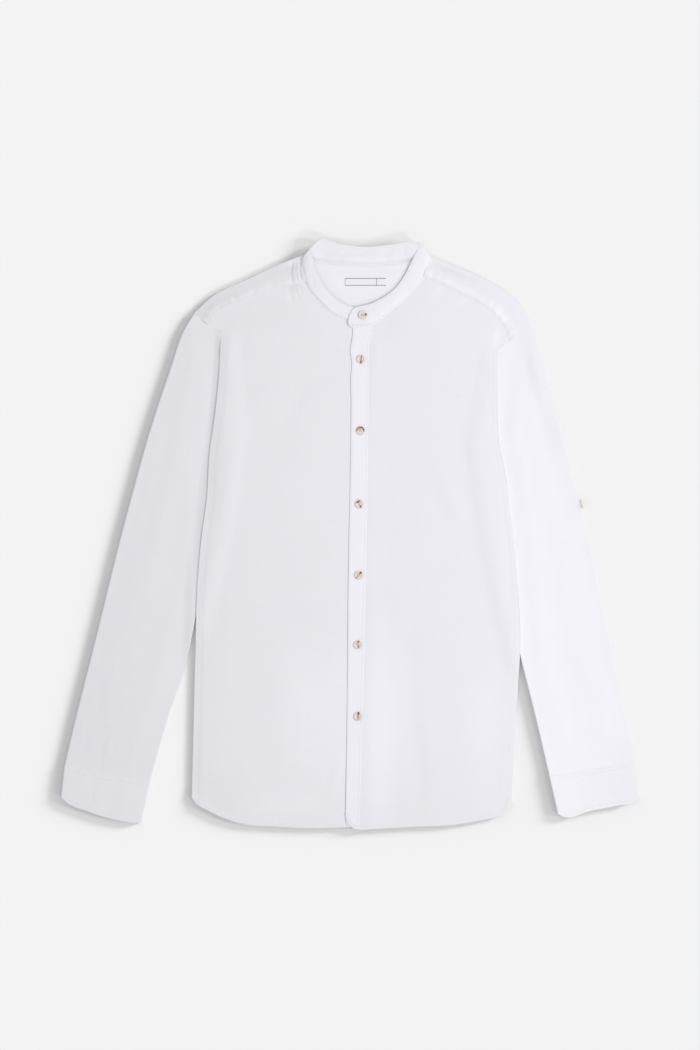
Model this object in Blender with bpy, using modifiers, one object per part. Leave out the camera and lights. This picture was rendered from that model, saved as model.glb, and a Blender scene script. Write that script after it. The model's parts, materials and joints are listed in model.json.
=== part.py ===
"""Mandarin collar shirt, laid flat with its front up.

A man's long-sleeve shirt, pressed flat: back and yoke underneath, the two fronts on top, the
left front lapped over the right one and closed with seven buttons.  The body rides over the
inner edges of the sleeves.  +X is the wearer's left, +Y points to the collar, +Z is up, and
the shirt lies on z = 0.  All tables and sizes are in millimetres.
"""

import math

import bmesh
import bpy
import numpy as np
from mathutils import Matrix, Vector

MM = 0.001

# Cloth and seams
CLOTH = 1.1            # wall of a single panel
BAND_CLOTH = 1.6       # wall of the collar band
CUFF_CLOTH = 1.4       # wall of a cuff
GAP = 0.3              # room between pieces that lie on each other
SEAM = 0.4             # room between pieces that meet edge to edge
FOLD = 1.8             # outer radius where the body folds from front to back
CUFF_FOLD = 2.05       # outer radius of a cuff's two folds
STRIP = 3.0            # height of a sleeve where the body lies on it
UNDERLAY = 3.4         # how far the body is lifted over that strip
LAP = 1.5              # the left front lies this much higher where it laps the right one
PLACKET = 26.0         # width of the buttonhole placket
UNDERLAP = 24.0        # how far the right front reaches under the placket
NECK_ROOM = 1.5        # from the band's lower edge to the panels' neck edge
CROWN = 1.3            # the front stands this much higher away from its edges
CROWN_EDGE = 45.0      # width over which that height grows
SLEEVE_CROWN = 1.7     # the same for a sleeve
INNER_GAP = 3.9        # the most room left between two layers
FADE = 25.0            # width over which the body comes down beside a sleeve
STRIP_MARGIN = 5.0     # width past the sleeve's edge before it does so
ARM_SEAM = 0.6         # room between body and sleeve at the armhole
LAP_ROOM = 2.0         # the lap's height holds this far past the right front's edge
YOKE_CROWN = 0.6       # the yoke's upper layer stands this much higher in its middle
CUFF_CROWN = 0.3       # the same for a cuff
BAND_CROWN = 0.8       # the band's middle bulges out this much
LEAST_PUFF = 0.1       # least height of a front's folds over flat cloth

# The body's lift over a sleeve: how far above the armhole's end and below the sleeve's coming
# out it ends, and the lengths over which it grows and fades
LIFT_ABOVE = 9.0
LIFT_GROWS = 35.0
LIFT_BELOW = 8.0
LIFT_FADES = 50.0

# Where the body presses on a sleeve: full up to this far outside the body's edge, fading over
# a width, and fading over a length before the sleeve comes out
PRESS_REACH = 4.0
PRESS_FADE = 14.0
PRESS_END = 40.0
CROWN_SHARE = 0.3      # share of a sleeve's width over which its crown grows
CROWN_LENGTH = 0.12    # share of its length over which the crown grows

BUTTON_RADIUS = 5.7
BUTTON_HEIGHT = 2.2
# A button's profile from the middle of its dish: inset from the rim's radius and depth below
# its top, then the underside's rounding (inset, height)
BUTTON_DISH = [(2.2, 0.7), (1.5, 0.05), (0.7, 0.0), (0.0, 0.8)]
BUTTON_UNDER = [(0.3, 0.5), (1.6, 0.0)]
BUTTON_STEPS = 16
BUTTON_ROOM = 0.35     # between a placket button and the placket
BAND_BUTTON_ROOM = 0.6 # between the collar button and the band
BAND_BUTTON = (0.62, 0.58)    # its place: rows before the end on top, share of the band's height

# Side edges of the body, from the hem's corner up to the armhole (x, y)
SIDE_EDGE = {
    "right": [(-210, -350), (-208, -270), (-205, -150), (-203, -79), (-197, -5), (-190, 47),
              (-186, 112), (-180, 153), (-174, 210), (-171, 271)],
    "left": [(214, -355), (218, -273), (223, -200), (226, -130), (221, -51), (213, 26),
             (205, 86), (198, 118), (196, 166), (197, 247)],
}
# Armhole seam on top, from the body's edge up to the shoulder point (x, y)
ARMHOLE = {
    "right": [(-171, 271), (-189, 279), (-207.5, 292.6)],
    "left": [(197, 247), (214, 257), (239.4, 285.3)],
}
# Seam from yoke to front, from the armhole to the neck (x, y)
YOKE_SEAM = {
    "right": [(-189, 279), (-178, 297), (-160, 305.5), (-120, 321), (-60.5, 337)],
    "left": [(214, 257), (201, 286), (186, 300), (146, 321), (100.5, 343.5)],
}
# Edge of the shoulder, from its point to the neck (x, y)
SHOULDER = {
    "right": [(-207.5, 292.6), (-182, 316), (-136, 338.5), (-101, 355), (-64.5, 370)],
    "left": [(239.4, 285.3), (225, 308), (182, 338), (137, 357), (109.8, 369)],
}
# Outer edge of a sleeve, from the shoulder point to the cuff's seam (x, y)
SLEEVE_OUTER = {
    "right": [(-207.5, 292.6), (-221, 270.7), (-238, 222), (-264, 144), (-295, 33),
              (-343, -159), (-367, -255), (-379, -306.6)],
    "left": [(239.4, 285.3), (250, 254), (275, 160), (308, 34), (336.5, -95),
             (362, -223), (378, -299)],
}
# Inner edge of a sleeve, from the point hidden under the body to the cuff's seam (x, y)
SLEEVE_INNER = {
    "right": [(-160, 136), (-180, 6), (-204, -103), (-219.5, -175), (-241, -239), (-266, -326.5)],
    "left": [(176, 119), (195.5, -14), (210, -87), (225, -155), (246, -239), (265, -320)],
}
# Seam from sleeve to cuff, from the outer edge to the inner one (x, y)
CUFF_SEAM = {
    "right": [(-379, -306.6), (-336, -317.6), (-266, -326.5)],
    "left": [(378, -299), (337, -309), (265, -320)],
}
# Lower edge of a cuff, from the outer edge to the inner one (x, y)
CUFF_END = {
    "right": [(-383.7, -349), (-377, -355.5), (-347, -368.4), (-307, -379.8), (-283, -382.8),
              (-278, -382.2)],
    "left": [(382.8, -348), (379, -354.5), (355, -360.3), (320, -367), (284.4, -375.3),
             (277, -371.7)],
}
# Hem, from the side edge to the front edge (x, y)
HEM = {
    "right": [(-210, -350), (-205, -357), (-190, -366), (-169, -376), (-149, -383),
              (-98, -388), (-54, -390), (18, -388)],
    "left": [(214, -355), (208, -370), (189, -376.5), (172, -380), (138, -385.6), (88, -388),
             (37, -390.6), (4, -390), (-2.5, -385.5), (-6, -374)],
}
# Front edge of the left front, from the hem to the neck (x, y)
FRONT_EDGE = [(-6, -374), (-4.3, -280), (-1.7, -34), (1.3, 118), (1.8, 179), (3.4, 273)]

# Collar band: its lower and upper edge, from the end below to the end on top
# (x, y, z at the lower edge, x, y, z at the upper edge), in the middle of its wall
BAND = [
    (29.3, 281.5, 4.9, 30.6, 305.2, 4.7),      # end below
    (2.7, 281.6, 5.0, 4.0, 301.9, 4.9),
    (-21.3, 291.3, 5.0, -14.6, 309.9, 5.8),
    (-42.6, 310.6, 5.0, -30.6, 323.9, 6.4),
    (-57.2, 329.2, 5.0, -41.3, 341.1, 7.0),
    (-62.5, 349.1, 4.9, -47.6, 357.1, 7.8),
    (-62.0, 368.6, 4.7, -50.8, 381.6, 8.8),    # where it folds to the back
    (-50.5, 364.8, 2.7, -40.8, 391.2, 8.0),
    (-20.0, 359.8, 2.1, -13.3, 385.7, 6.2),
    (16.0, 357.8, 2.1, 20.0, 382.0, 5.6),      # middle of the back
    (55.9, 359.8, 2.1, 55.9, 385.0, 6.2),
    (90.4, 365.1, 2.7, 79.8, 388.4, 8.0),
    (108.4, 367.6, 4.7, 90.9, 387.4, 9.0),     # where it folds to the front
    (102.4, 351.8, 4.9, 83.1, 365.1, 8.0),
    (93.1, 331.8, 5.0, 73.8, 346.0, 7.0),
    (75.8, 314.6, 5.3, 61.3, 328.2, 6.4),
    (54.5, 297.3, 6.0, 43.0, 314.0, 6.4),
    (30.6, 278.0, 6.9, 25.0, 305.6, 6.9),
    (-4.0, 275.0, 7.0, 1.5, 301.0, 7.0),       # end on top
]
BAND_RIGHT_NECK = (0.0, 4.32)     # rows of the band that the right front follows
BAND_RIGHT_FOLD = 6.0             # row where the band passes the right shoulder's edge
BAND_LEFT_FOLD = 12.0
BAND_LEFT_NECK = (17.79, 13.42)
BAND_CORNER = 12.0                # radius of the upper corner of the end on top
BAND_FOOT = 9.0                   # height over which that end draws in below
BAND_FOOT_CUT = 6.5               # and by how much

# Soft folds of the fronts: from (x, y) to (x, y), half width, height
FRONT_FOLDS = [
    (93, -400, 73, -87, 24, -0.9),
    (45, -330, 60, -120, 30, 0.6),
    (40, 265, 33, 152, 16, 0.5),
    (112, 98, 152, 9, 20, 0.8),
    (-47, 207, -133, 86, 24, -0.7),
    (-150, 40, -120, -150, 34, 0.5),
    (-40, -250, -55, -370, 20, -0.6),
    (150, -160, 175, -330, 26, 0.6),
]
# The same for the sleeves
SLEEVE_FOLDS = {
    "right": [(-230, 200, -285, -40, 14, -0.7), (-330, -170, -345, -290, 13, -0.7),
              (-262, -20, -300, -200, 18, 0.5)],
    "left": [(262, 170, 300, -20, 14, -0.7), (335, -170, 345, -285, 13, 0.6),
             (262, -60, 292, -230, 18, -0.6)],
}

# Buttons on the placket (x, y), from the collar down
PLACKET_BUTTONS = [(14.6, 232.8), (14.0, 138.3), (12.6, 40.6), (12.0, -53.9), (10.6, -146.3),
                   (10.6, -241.4)]
TAB_BUTTON_Y = 40.6
TAB_BUTTON_Z = 5.8
TAB_BUTTON_TILT = math.radians(3)

LABEL_CENTRE = (20.6, 335.8)
LABEL_SIZE = (54.5, 10.6, 1.0)

ROWS = 31              # rows of a front or the back, hem to yoke
ARMHOLE_ROWS = 2       # of these, the rows beside the armhole
SEAM_COLUMNS = 8       # columns along a shoulder seam
NECK_COLUMNS = 6       # columns along a front's neck edge
SEAM_SHARE = 0.58      # share of a front's width that runs up to the shoulder seam
PLACKET_SHARE = 0.84   # share of the left front's width beside the placket
PLACKET_TOP = 0.72     # the same for its neck edge
PLACKET_COLUMNS = 3    # columns of the left front under the placket
FOLD_STEPS = 3         # steps of a quarter turn at a fold
FOLD_LIP = (0.04, 0.6) # inset and rise of the first point of a panel's turned edge
BACK_EDGE_SHARES = [0.025, 0.05, 0.075, 0.105, 0.145]    # the back's columns beside each fold
BACK_COLUMNS = 8       # columns of the back between them
YOKE_ROWS = 4          # rows of each layer of the yoke, beside the fold
BACK_NECK_COLUMNS = 9  # columns of the yoke's back between the shoulders
BACK_NECK_INSET = 0.35 # band rows between a shoulder's fold and the first of those columns
SLEEVE_ROWS = 21
# Column shares across a sleeve, and those that meet the yoke's seam, the body's edge and the
# start of the strip under the body
SLEEVE_SHARES = [0.0, 0.12, 0.25, 0.38, 0.52, 0.66, 0.80, 0.92, 1.0]
SLEEVE_CORNER_COLUMNS = (2, 3, 4)
CUFF_ROWS = 4
BAND_COLUMNS = 49
BAND_HEIGHT_STEPS = 5
NECK_STEPS = 24        # points along a panel's neck edge
FOLD_END = 0.25        # share of a soft fold's length over which it fades at each end

CLOTH_COLOUR = (0.83, 0.83, 0.85)
CLOTH_ROUGHNESS = 0.85
BACK_TONE = 0.97       # the back is this much darker
BUTTON_COLOUR = (0.74, 0.68, 0.60)
BUTTON_ROUGHNESS = 0.3

SIDES = ("right", "left")
OUTWARD = {"right": -1.0, "left": 1.0}


def smooth(t):
    """0 below 0, 1 above 1, and a soft step between."""
    t = min(max(t, 0.0), 1.0)
    return t * t * (3.0 - 2.0 * t)


class Line:
    """A line through a few points, soft within each piece and cornered between pieces."""

    STEPS = 12

    def __init__(self, *pieces):
        dense = []
        self.corners = []
        for piece in pieces:
            points = np.array(piece, dtype=float)
            run = self._soften(points)
            if dense:
                self.corners.append(len(dense) - 1)
                run = run[1:]
            dense.extend(run)
        self.dense = np.array(dense)
        lengths = np.linalg.norm(np.diff(self.dense, axis=0), axis=1)
        self.travel = np.concatenate([[0.0], np.cumsum(lengths)])
        self.length = self.travel[-1]
        self.corner_shares = [self.travel[i] / self.length for i in self.corners]

    def _soften(self, points):
        """Hermite segments whose slopes come from the neighbours' distances."""
        count = len(points)
        if count == 2:
            return list(points)
        gaps = np.linalg.norm(np.diff(points, axis=0), axis=1)
        rates = np.diff(points, axis=0) / gaps[:, None]
        slopes = [rates[0]]
        for i in range(1, count - 1):
            before, after = gaps[i - 1], gaps[i]
            slopes.append((rates[i - 1] * after + rates[i] * before) / (before + after))
        slopes.append(rates[-1])
        run = [points[0]]
        for i in range(count - 1):
            for step in range(1, self.STEPS + 1):
                t = step / self.STEPS
                a = 2 * t ** 3 - 3 * t ** 2 + 1
                b = t ** 3 - 2 * t ** 2 + t
                c = -2 * t ** 3 + 3 * t ** 2
                d = t ** 3 - t ** 2
                run.append(a * points[i] + b * gaps[i] * slopes[i]
                           + c * points[i + 1] + d * gaps[i] * slopes[i + 1])
        return run

    def at(self, share):
        """The point at a share of the line's length."""
        where = min(max(share, 0.0), 1.0) * self.length
        return np.array([np.interp(where, self.travel, self.dense[:, k])
                         for k in range(self.dense.shape[1])])

    def row(self, number):
        """The point at a row number of a line made of one piece."""
        where = number * self.STEPS
        return np.array([np.interp(where, np.arange(len(self.dense)), self.dense[:, k])
                         for k in range(self.dense.shape[1])])

    def x_at(self, y):
        """x where a line that runs along Y passes y."""
        order = np.argsort(self.dense[:, 1])
        return float(np.interp(y, self.dense[order, 1], self.dense[order, 0]))


def moved_off(points, distance):
    """An open row of points, moved sideways to the left of its direction."""
    points = np.array(points, dtype=float)
    ahead = np.gradient(points, axis=0)
    ahead /= np.linalg.norm(ahead, axis=1)[:, None]
    return points + distance * np.stack([-ahead[:, 1], ahead[:, 0]], axis=1)


SIDE = {side: Line(SIDE_EDGE[side]) for side in SIDES}
PANEL_SIDE = {side: Line(SIDE_EDGE[side], ARMHOLE[side][:2]) for side in SIDES}
OUTER = {side: Line(SLEEVE_OUTER[side]) for side in SIDES}
INNER = {side: Line(SLEEVE_INNER[side]) for side in SIDES}
FRONT = Line(FRONT_EDGE)
BAND_LOW = Line([row[:3] for row in BAND])
BAND_HIGH = Line([row[3:] for row in BAND])


def strip_edge(side):
    """Inner edge of the sleeve's hidden strip, as a line that runs down the body."""
    armhole_end = SIDE_EDGE[side][-1]
    start_y = armhole_end[1] + LIFT_ABOVE - LIFT_GROWS
    start = (SIDE[side].x_at(start_y), start_y)
    return start, Line([start, SLEEVE_INNER[side][0]], SLEEVE_INNER[side])


STRIP_START = {side: strip_edge(side)[0] for side in SIDES}
STRIP_EDGE = {side: strip_edge(side)[1] for side in SIDES}


def emerges(side):
    """y where the sleeve's inner edge comes out from under the body."""
    for y in np.arange(SLEEVE_INNER[side][0][1], -300.0, -1.0):
        if OUTWARD[side] * (INNER[side].x_at(y) - SIDE[side].x_at(y)) > 0:
            return y
    return -300.0


EMERGES = {side: emerges(side) for side in SIDES}


def lift(x, y):
    """How far the body's underside is raised at (x, y) by the sleeves below it."""
    height = 0.0
    for side in SIDES:
        top = SIDE_EDGE[side][-1][1] + LIFT_ABOVE
        down = smooth((top - y) / LIFT_GROWS)
        up = smooth((y - (EMERGES[side] - LIFT_BELOW - LIFT_FADES)) / LIFT_FADES)
        inward = OUTWARD[side] * (STRIP_EDGE[side].x_at(y) - x)
        beside = 1.0 - smooth((inward - STRIP_MARGIN) / FADE)
        height = max(height, UNDERLAY * down * up * beside)
    return height


def fold_height(x, y, folds):
    """Sum of the soft folds at (x, y), each a rounded ridge or trough that fades at its ends."""
    total = 0.0
    for x0, y0, x1, y1, half_width, height in folds:
        run = np.array([x1 - x0, y1 - y0], dtype=float)
        length = np.linalg.norm(run)
        run /= length
        offset = np.array([x - x0, y - y0])
        along = float(offset @ run) / length
        aside = float(offset[0] * run[1] - offset[1] * run[0])
        ends = smooth(along / FOLD_END) * smooth((1.0 - along) / FOLD_END)
        total += height * ends * math.exp(-(aside / half_width) ** 2)
    return total


TOP_LINE = sorted(YOKE_SEAM["right"] + YOKE_SEAM["left"] + [(4, 273), (29, 275)])
HEM_LINE = sorted(HEM["right"][:-1] + HEM["left"][:-2])


def puff(x, y):
    """How far the fronts stand above flat cloth at (x, y)."""
    top = np.interp(x, [p[0] for p in TOP_LINE], [p[1] for p in TOP_LINE])
    bottom = np.interp(x, [p[0] for p in HEM_LINE], [p[1] for p in HEM_LINE])
    inside = smooth((top - y) / CROWN_EDGE) * smooth((y - bottom) / CROWN_EDGE)
    for side in SIDES:
        inward = OUTWARD[side] * (SIDE[side].x_at(y) - x)
        inside *= smooth((inward - FOLD) / CROWN_EDGE)
    most = INNER_GAP - 2 * FOLD + 2 * CLOTH
    return inside * min(max(CROWN + fold_height(x, y, FRONT_FOLDS), LEAST_PUFF), most)


def front_top(x, y):
    """Height of the fronts' upper face, without the lap."""
    return lift(x, y) + 2 * FOLD + puff(x, y)


def lap(x, y):
    """How much higher the left front lies at (x, y) on account of the right one."""
    edge = FRONT.x_at(y) + UNDERLAP
    return LAP * (1.0 - smooth((x - edge - LAP_ROOM) / FADE))


def spread(start, stop, count):
    """Evenly spaced shares, without the first one."""
    return [start + (stop - start) * (i + 1) / count for i in range(count)]


def neck_edge(side):
    """The panels' neck edge: the band's lower edge, moved off the band."""
    first, last = BAND_RIGHT_NECK if side == "right" else BAND_LEFT_NECK
    rows = np.linspace(last, first, NECK_STEPS)
    points = [BAND_LOW.row(row)[:2] for row in rows]
    away = -NECK_ROOM if side == "right" else NECK_ROOM
    return [tuple(p) for p in moved_off(points, away)]


def front_lines(side):
    """Bounding lines of a front: hem and top from the side inward, and the front edge upward."""
    neck = neck_edge(side)
    top = Line(YOKE_SEAM[side][:-1] + [neck[0]], neck)
    hem = Line(HEM[side])
    reach = UNDERLAP if side == "right" else 0.0
    middle = [(x + reach, y) for x, y in FRONT_EDGE[1:-1]]
    edge = Line([tuple(hem.at(1))] + middle + [tuple(top.at(1))])
    return hem, top, edge


def front_columns(side, top):
    """Column shares along the hem, and where they meet the top's corner; None in the placket."""
    neck = top.corner_shares[0]
    shares = [0.0] + spread(0.0, SEAM_SHARE, SEAM_COLUMNS - 1)
    tops = [0.0] + spread(0.0, neck, SEAM_COLUMNS - 1)
    if side == "right":
        shares += spread(SEAM_SHARE, 1.0, NECK_COLUMNS)
        tops += spread(neck, 1.0, NECK_COLUMNS)
        return shares, tops
    beside = NECK_COLUMNS - PLACKET_COLUMNS
    placket = [None] * (PLACKET_COLUMNS - 1) + [1.0]
    shares += spread(SEAM_SHARE, PLACKET_SHARE, beside) + placket
    tops += spread(neck, neck + PLACKET_TOP * (1 - neck), beside) + placket
    return shares, tops


def panel_point(v, at_first, at_last, share, low, high, low_ends, high_ends):
    """A point between four lines: first and last side at v, low and high line at its share."""
    along = (1 - v) * low + v * high
    across = (1 - share) * at_first + share * at_last
    ends = ((1 - share) * ((1 - v) * low_ends[0] + v * high_ends[0])
            + share * ((1 - v) * low_ends[1] + v * high_ends[1]))
    return along + across - ends


def side_share(side, row):
    """Share of a panel's side line for a row; the last rows run along the armhole."""
    corner = PANEL_SIDE[side].corner_shares[0]
    below = ROWS - 1 - ARMHOLE_ROWS
    if row <= below:
        return corner * row / below
    return corner + (1 - corner) * (row - below) / ARMHOLE_ROWS


def front_plan(side):
    """Rows of (x, y) of a front, from its hem up, each from the side edge inward."""
    hem, top, edge = front_lines(side)
    shares, tops = front_columns(side, top)
    plan = []
    for r in range(ROWS):
        v = r / (ROWS - 1)
        at_side, at_edge = PANEL_SIDE[side].at(side_share(side, r)), edge.at(v)
        width = np.linalg.norm(at_edge - at_side)
        row = []
        for i, (share, top_share) in enumerate(zip(shares, tops)):
            if share is None:
                inset = PLACKET * (len(shares) - 1 - i) / (PLACKET_COLUMNS - 1)
                share = 1.0 - inset / width
                top_share = 1.0 - inset / top.length
            row.append(panel_point(v, at_side, at_edge, share, hem.at(share),
                                   top.at(top_share), (hem.at(0), hem.at(1)),
                                   (top.at(0), top.at(1))))
        plan.append(row)
    return plan


def quarter_fold(edge, inner, height, turned):
    """Points from a panel's edge inward: a quarter turn beside the body, flat at the armhole.

    height is that of the panel's outer face; turned is -1 for the back, whose edge turns up,
    1 for a front, whose edge turns down, and 0 where the edge stays flat.
    """
    inward = (inner - edge) / np.linalg.norm(inner - edge)
    steps = [(0.0, GAP / 2), FOLD_LIP]
    for i in range(1, FOLD_STEPS):
        angle = math.pi / 2 * (i + 1) / FOLD_STEPS
        steps.append((FOLD * (1 - math.cos(angle)), FOLD * math.sin(angle)))
    points = []
    for distance, rise in steps:
        p = edge + inward * distance
        points.append((p[0], p[1], height - turned * (FOLD - rise)))
    return points


def front_rows(side):
    """Rows of (x, y, z) of a front's upper face."""
    def height(x, y):
        raised = lap(x, y) if side == "left" else 0.0
        return front_top(x, y) + raised

    rows = []
    for r, plan in enumerate(front_plan(side)):
        turned = 1 if r < ROWS - ARMHOLE_ROWS else 0
        row = quarter_fold(plan[0], plan[1], front_top(*plan[0]), turned)
        rows.append(row + [(p[0], p[1], height(p[0], p[1])) for p in plan[1:]])
    return rows


def back_rows():
    """Rows of (x, y, z) of the back's underside, from the hem up, right to left."""
    hem = Line(HEM["right"][:-1] + HEM["left"][-4::-1])
    top = Line([YOKE_SEAM["right"][0], YOKE_SEAM["left"][0]])
    near = BACK_EDGE_SHARES
    shares = [0.0] + near + spread(near[-1], 1 - near[-1], BACK_COLUMNS)
    shares += [1 - share for share in near[-2::-1]] + [1.0]
    rows = []
    for r in range(ROWS):
        v = r / (ROWS - 1)
        at_right = PANEL_SIDE["right"].at(side_share("right", r))
        at_left = PANEL_SIDE["left"].at(side_share("left", r))
        plan = [panel_point(v, at_right, at_left, share, hem.at(share), top.at(share),
                            (hem.at(0), hem.at(1)), (top.at(0), top.at(1)))
                for share in shares]
        turned = -1 if r < ROWS - ARMHOLE_ROWS else 0
        row = quarter_fold(plan[0], plan[1], lift(*plan[0]), turned)
        row += [(p[0], p[1], lift(p[0], p[1])) for p in plan[1:-1]]
        row += quarter_fold(plan[-1], plan[-2], lift(*plan[-1]), turned)[::-1]
        rows.append(row)
    return rows


def yoke_columns(side):
    """Columns of a shoulder, from armhole to neck: front seam and shoulder points."""
    seam_points = [(x, y) for x, y in YOKE_SEAM[side]]
    seam_points[-1] = neck_edge(side)[0]
    lift_off = SEAM if side == "right" else -SEAM
    seam = Line(seam_points)
    shoulder = Line(SHOULDER[side])
    columns = []
    for i in range(SEAM_COLUMNS):
        share = i / (SEAM_COLUMNS - 1)
        columns.append((seam.at(share), shoulder.at(share)))
    front = moved_off([c[0] for c in columns], lift_off)
    return [(f, c[1]) for f, c in zip(front, columns)]


def yoke_strip(column, back_point, bulge):
    """One column of the yoke: back seam, lower layer, shoulder fold, upper layer, front seam."""
    front_point, edge = column
    points = []
    down = (back_point - edge) / np.linalg.norm(back_point - edge)
    start = edge + down * FOLD
    for i in range(YOKE_ROWS):
        p = back_point + (start - back_point) * i / YOKE_ROWS
        points.append((p[0], p[1], 0.0))
    forward = (front_point - edge) / np.linalg.norm(front_point - edge)
    for i in range(2 * FOLD_STEPS + 1):
        angle = -math.pi / 2 + math.pi * i / (2 * FOLD_STEPS)
        inset = FOLD * (1 - math.cos(angle))
        share = i / (2 * FOLD_STEPS)
        heading = down * (1 - share) + forward * share
        p = edge + heading * inset
        points.append((p[0], p[1], FOLD + FOLD * math.sin(angle)))
    first = edge + forward * FOLD
    for i in range(1, YOKE_ROWS + 1):
        share = i / YOKE_ROWS
        p = first + (front_point - first) * share
        crown = YOKE_CROWN * math.sin(math.pi * share) * bulge
        points.append((p[0], p[1], 2 * FOLD + crown))
    return points


def yoke_rows():
    """Columns of the yoke from the right armhole to the left one; None where the neck is open."""
    right, left = yoke_columns("right"), yoke_columns("left")[::-1]
    seam_right = np.array(YOKE_SEAM["right"][0], dtype=float)
    seam_left = np.array(YOKE_SEAM["left"][0], dtype=float)
    upward = np.array([-(seam_left - seam_right)[1], (seam_left - seam_right)[0]])
    upward *= SEAM / np.linalg.norm(upward)
    span = seam_left - seam_right

    def back_point(x):
        share = (x - seam_right[0]) / span[0]
        return seam_right + span * share + upward

    rows_below = YOKE_ROWS + 1
    total = YOKE_ROWS + 2 * FOLD_STEPS + 1 + YOKE_ROWS
    columns = []
    for i, column in enumerate(right):
        start = seam_right[0] + i * (right[-1][1][0] - seam_right[0]) / (SEAM_COLUMNS - 1)
        bulge = math.sin(math.pi * i / (SEAM_COLUMNS - 1))
        columns.append(yoke_strip(column, back_point(start), bulge))
    rows = np.linspace(BAND_RIGHT_FOLD + BACK_NECK_INSET, BAND_LEFT_FOLD - BACK_NECK_INSET,
                       BACK_NECK_COLUMNS)
    for row in rows:
        neck = BAND_LOW.row(row)[:2] - np.array([0.0, NECK_ROOM])
        low = back_point(neck[0])
        column = []
        for i in range(rows_below):
            p = low + (neck - low) * i / (rows_below - 1)
            column.append((p[0], p[1], 0.0))
        columns.append(column + [None] * (total - rows_below))
    for i, column in enumerate(left):
        start = left[0][1][0] + i * (seam_left[0] - left[0][1][0]) / (SEAM_COLUMNS - 1)
        bulge = math.sin(math.pi * i / (SEAM_COLUMNS - 1))
        columns.append(yoke_strip(column, back_point(start), bulge))
    return columns


def pressed(side, x, y):
    """1 where the body lies on the sleeve, 0 well outside it."""
    start_y = STRIP_START[side][1]
    end_y = SIDE_EDGE[side][-1][1]
    below = smooth((end_y - y) / (end_y - start_y))
    outside = OUTWARD[side] * (x - SIDE[side].x_at(y))
    low_end = smooth((y - (EMERGES[side] - PRESS_END)) / PRESS_END)
    return below * low_end * (1.0 - smooth((outside - PRESS_REACH) / PRESS_FADE))


def armhole_line(side):
    """Armhole end of the sleeve: shoulder point, yoke seam, body's edge, strip, hidden point."""
    away = -ARM_SEAM if side == "right" else ARM_SEAM
    seam = [tuple(p) for p in moved_off(ARMHOLE[side][::-1], away)]
    start_x, start_y = STRIP_START[side]
    beside = OUTWARD[side] * ARM_SEAM
    strip_start = (start_x + beside, start_y)
    bend = (ARMHOLE[side][0][0] + beside, ARMHOLE[side][0][1] - ARM_SEAM)
    return Line(seam[:2], [seam[1], bend], [bend, strip_start],
                [strip_start, SLEEVE_INNER[side][0]])


def sleeve_height(side, x, y, share, v, radius, crown, folds):
    """Height of the sleeve's upper face."""
    over = crown * smooth(min(share, 1 - share) / CROWN_SHARE)
    over *= smooth(min(v, 1 - v) / CROWN_LENGTH)
    full = 2 * radius + max(over * (1 + fold_height(x, y, folds)), 0.0)
    hold = pressed(side, x, y)
    return full * (1 - hold) + STRIP * hold


def tube_row(side, plan, v, shares, radius, crown, folds, press=True):
    """One closed ring of a flat tube, from plan points across it, outer edge first."""
    def top(i):
        if not press:
            return 2 * radius + crown * smooth(min(shares[i], 1 - shares[i]) / CROWN_SHARE)
        return sleeve_height(side, plan[i][0], plan[i][1], shares[i], v, radius, crown, folds)

    def turn(edge, toward, height, rising):
        half = height / 2
        inward = (toward - edge) / np.linalg.norm(toward - edge)
        points = []
        for i in range(2 * FOLD_STEPS - 1):
            angle = -math.pi / 2 + math.pi * i / (2 * FOLD_STEPS - 2)
            p = edge + inward * half * (1 - math.cos(angle))
            points.append((p[0], p[1], half + half * math.sin(angle)))
        return points if rising else points[::-1]

    count = len(plan)
    ring = turn(plan[0], plan[1], top(0), True)
    ring += [(plan[i][0], plan[i][1], top(i)) for i in range(1, count - 1)]
    ring += turn(plan[-1], plan[-2], top(count - 1), False)
    ring += [(plan[i][0], plan[i][1], 0.0) for i in range(count - 2, 0, -1)]
    return ring + [ring[0]]


def sleeve_rows(side):
    """Closed rings of a sleeve from the armhole to the cuff's seam."""
    armhole = armhole_line(side)
    seam = Line(CUFF_SEAM[side])
    shares = SLEEVE_SHARES
    corner_shares = [shares[i] for i in SLEEVE_CORNER_COLUMNS]
    columns = [0.0] + corner_shares + [1.0]
    armhole_shares = [0.0] + armhole.corner_shares + [1.0]
    starts = (OUTER[side].at(0), INNER[side].at(0))
    rows = []
    for r in range(SLEEVE_ROWS):
        v = r / (SLEEVE_ROWS - 1)
        plan = []
        for share in shares:
            start = armhole.at(np.interp(share, columns, armhole_shares))
            plan.append(panel_point(v, OUTER[side].at(v), INNER[side].at(v), share, start,
                                    seam.at(share), starts, (seam.at(0), seam.at(1))))
        rows.append(tube_row(side, plan, v, shares, FOLD, SLEEVE_CROWN, SLEEVE_FOLDS[side]))
    return rows


def cuff_rows(side):
    """Closed rings of a cuff from its seam to its end."""
    turn = SEAM if side == "right" else -SEAM
    shares = SLEEVE_SHARES
    seam_line, end = Line(CUFF_SEAM[side]), Line(CUFF_END[side])
    seam = moved_off([seam_line.at(share) for share in shares], -turn)
    rows = []
    for r in range(CUFF_ROWS):
        v = r / (CUFF_ROWS - 1)
        plan = [(1 - v) * seam[i] + v * end.at(shares[i]) for i in range(len(shares))]
        rows.append(tube_row(side, plan, v, shares, CUFF_FOLD, CUFF_CROWN, [], press=False))
    return rows


def band_point(row, share):
    """A point in the middle of the band's wall; share runs from its lower to its upper edge."""
    low, high = BAND_LOW.row(row), BAND_HIGH.row(row)
    bulge = BAND_CROWN * math.sin(math.pi * share)
    return low + (high - low) * share + np.array([0.0, 0.0, bulge])


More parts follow.
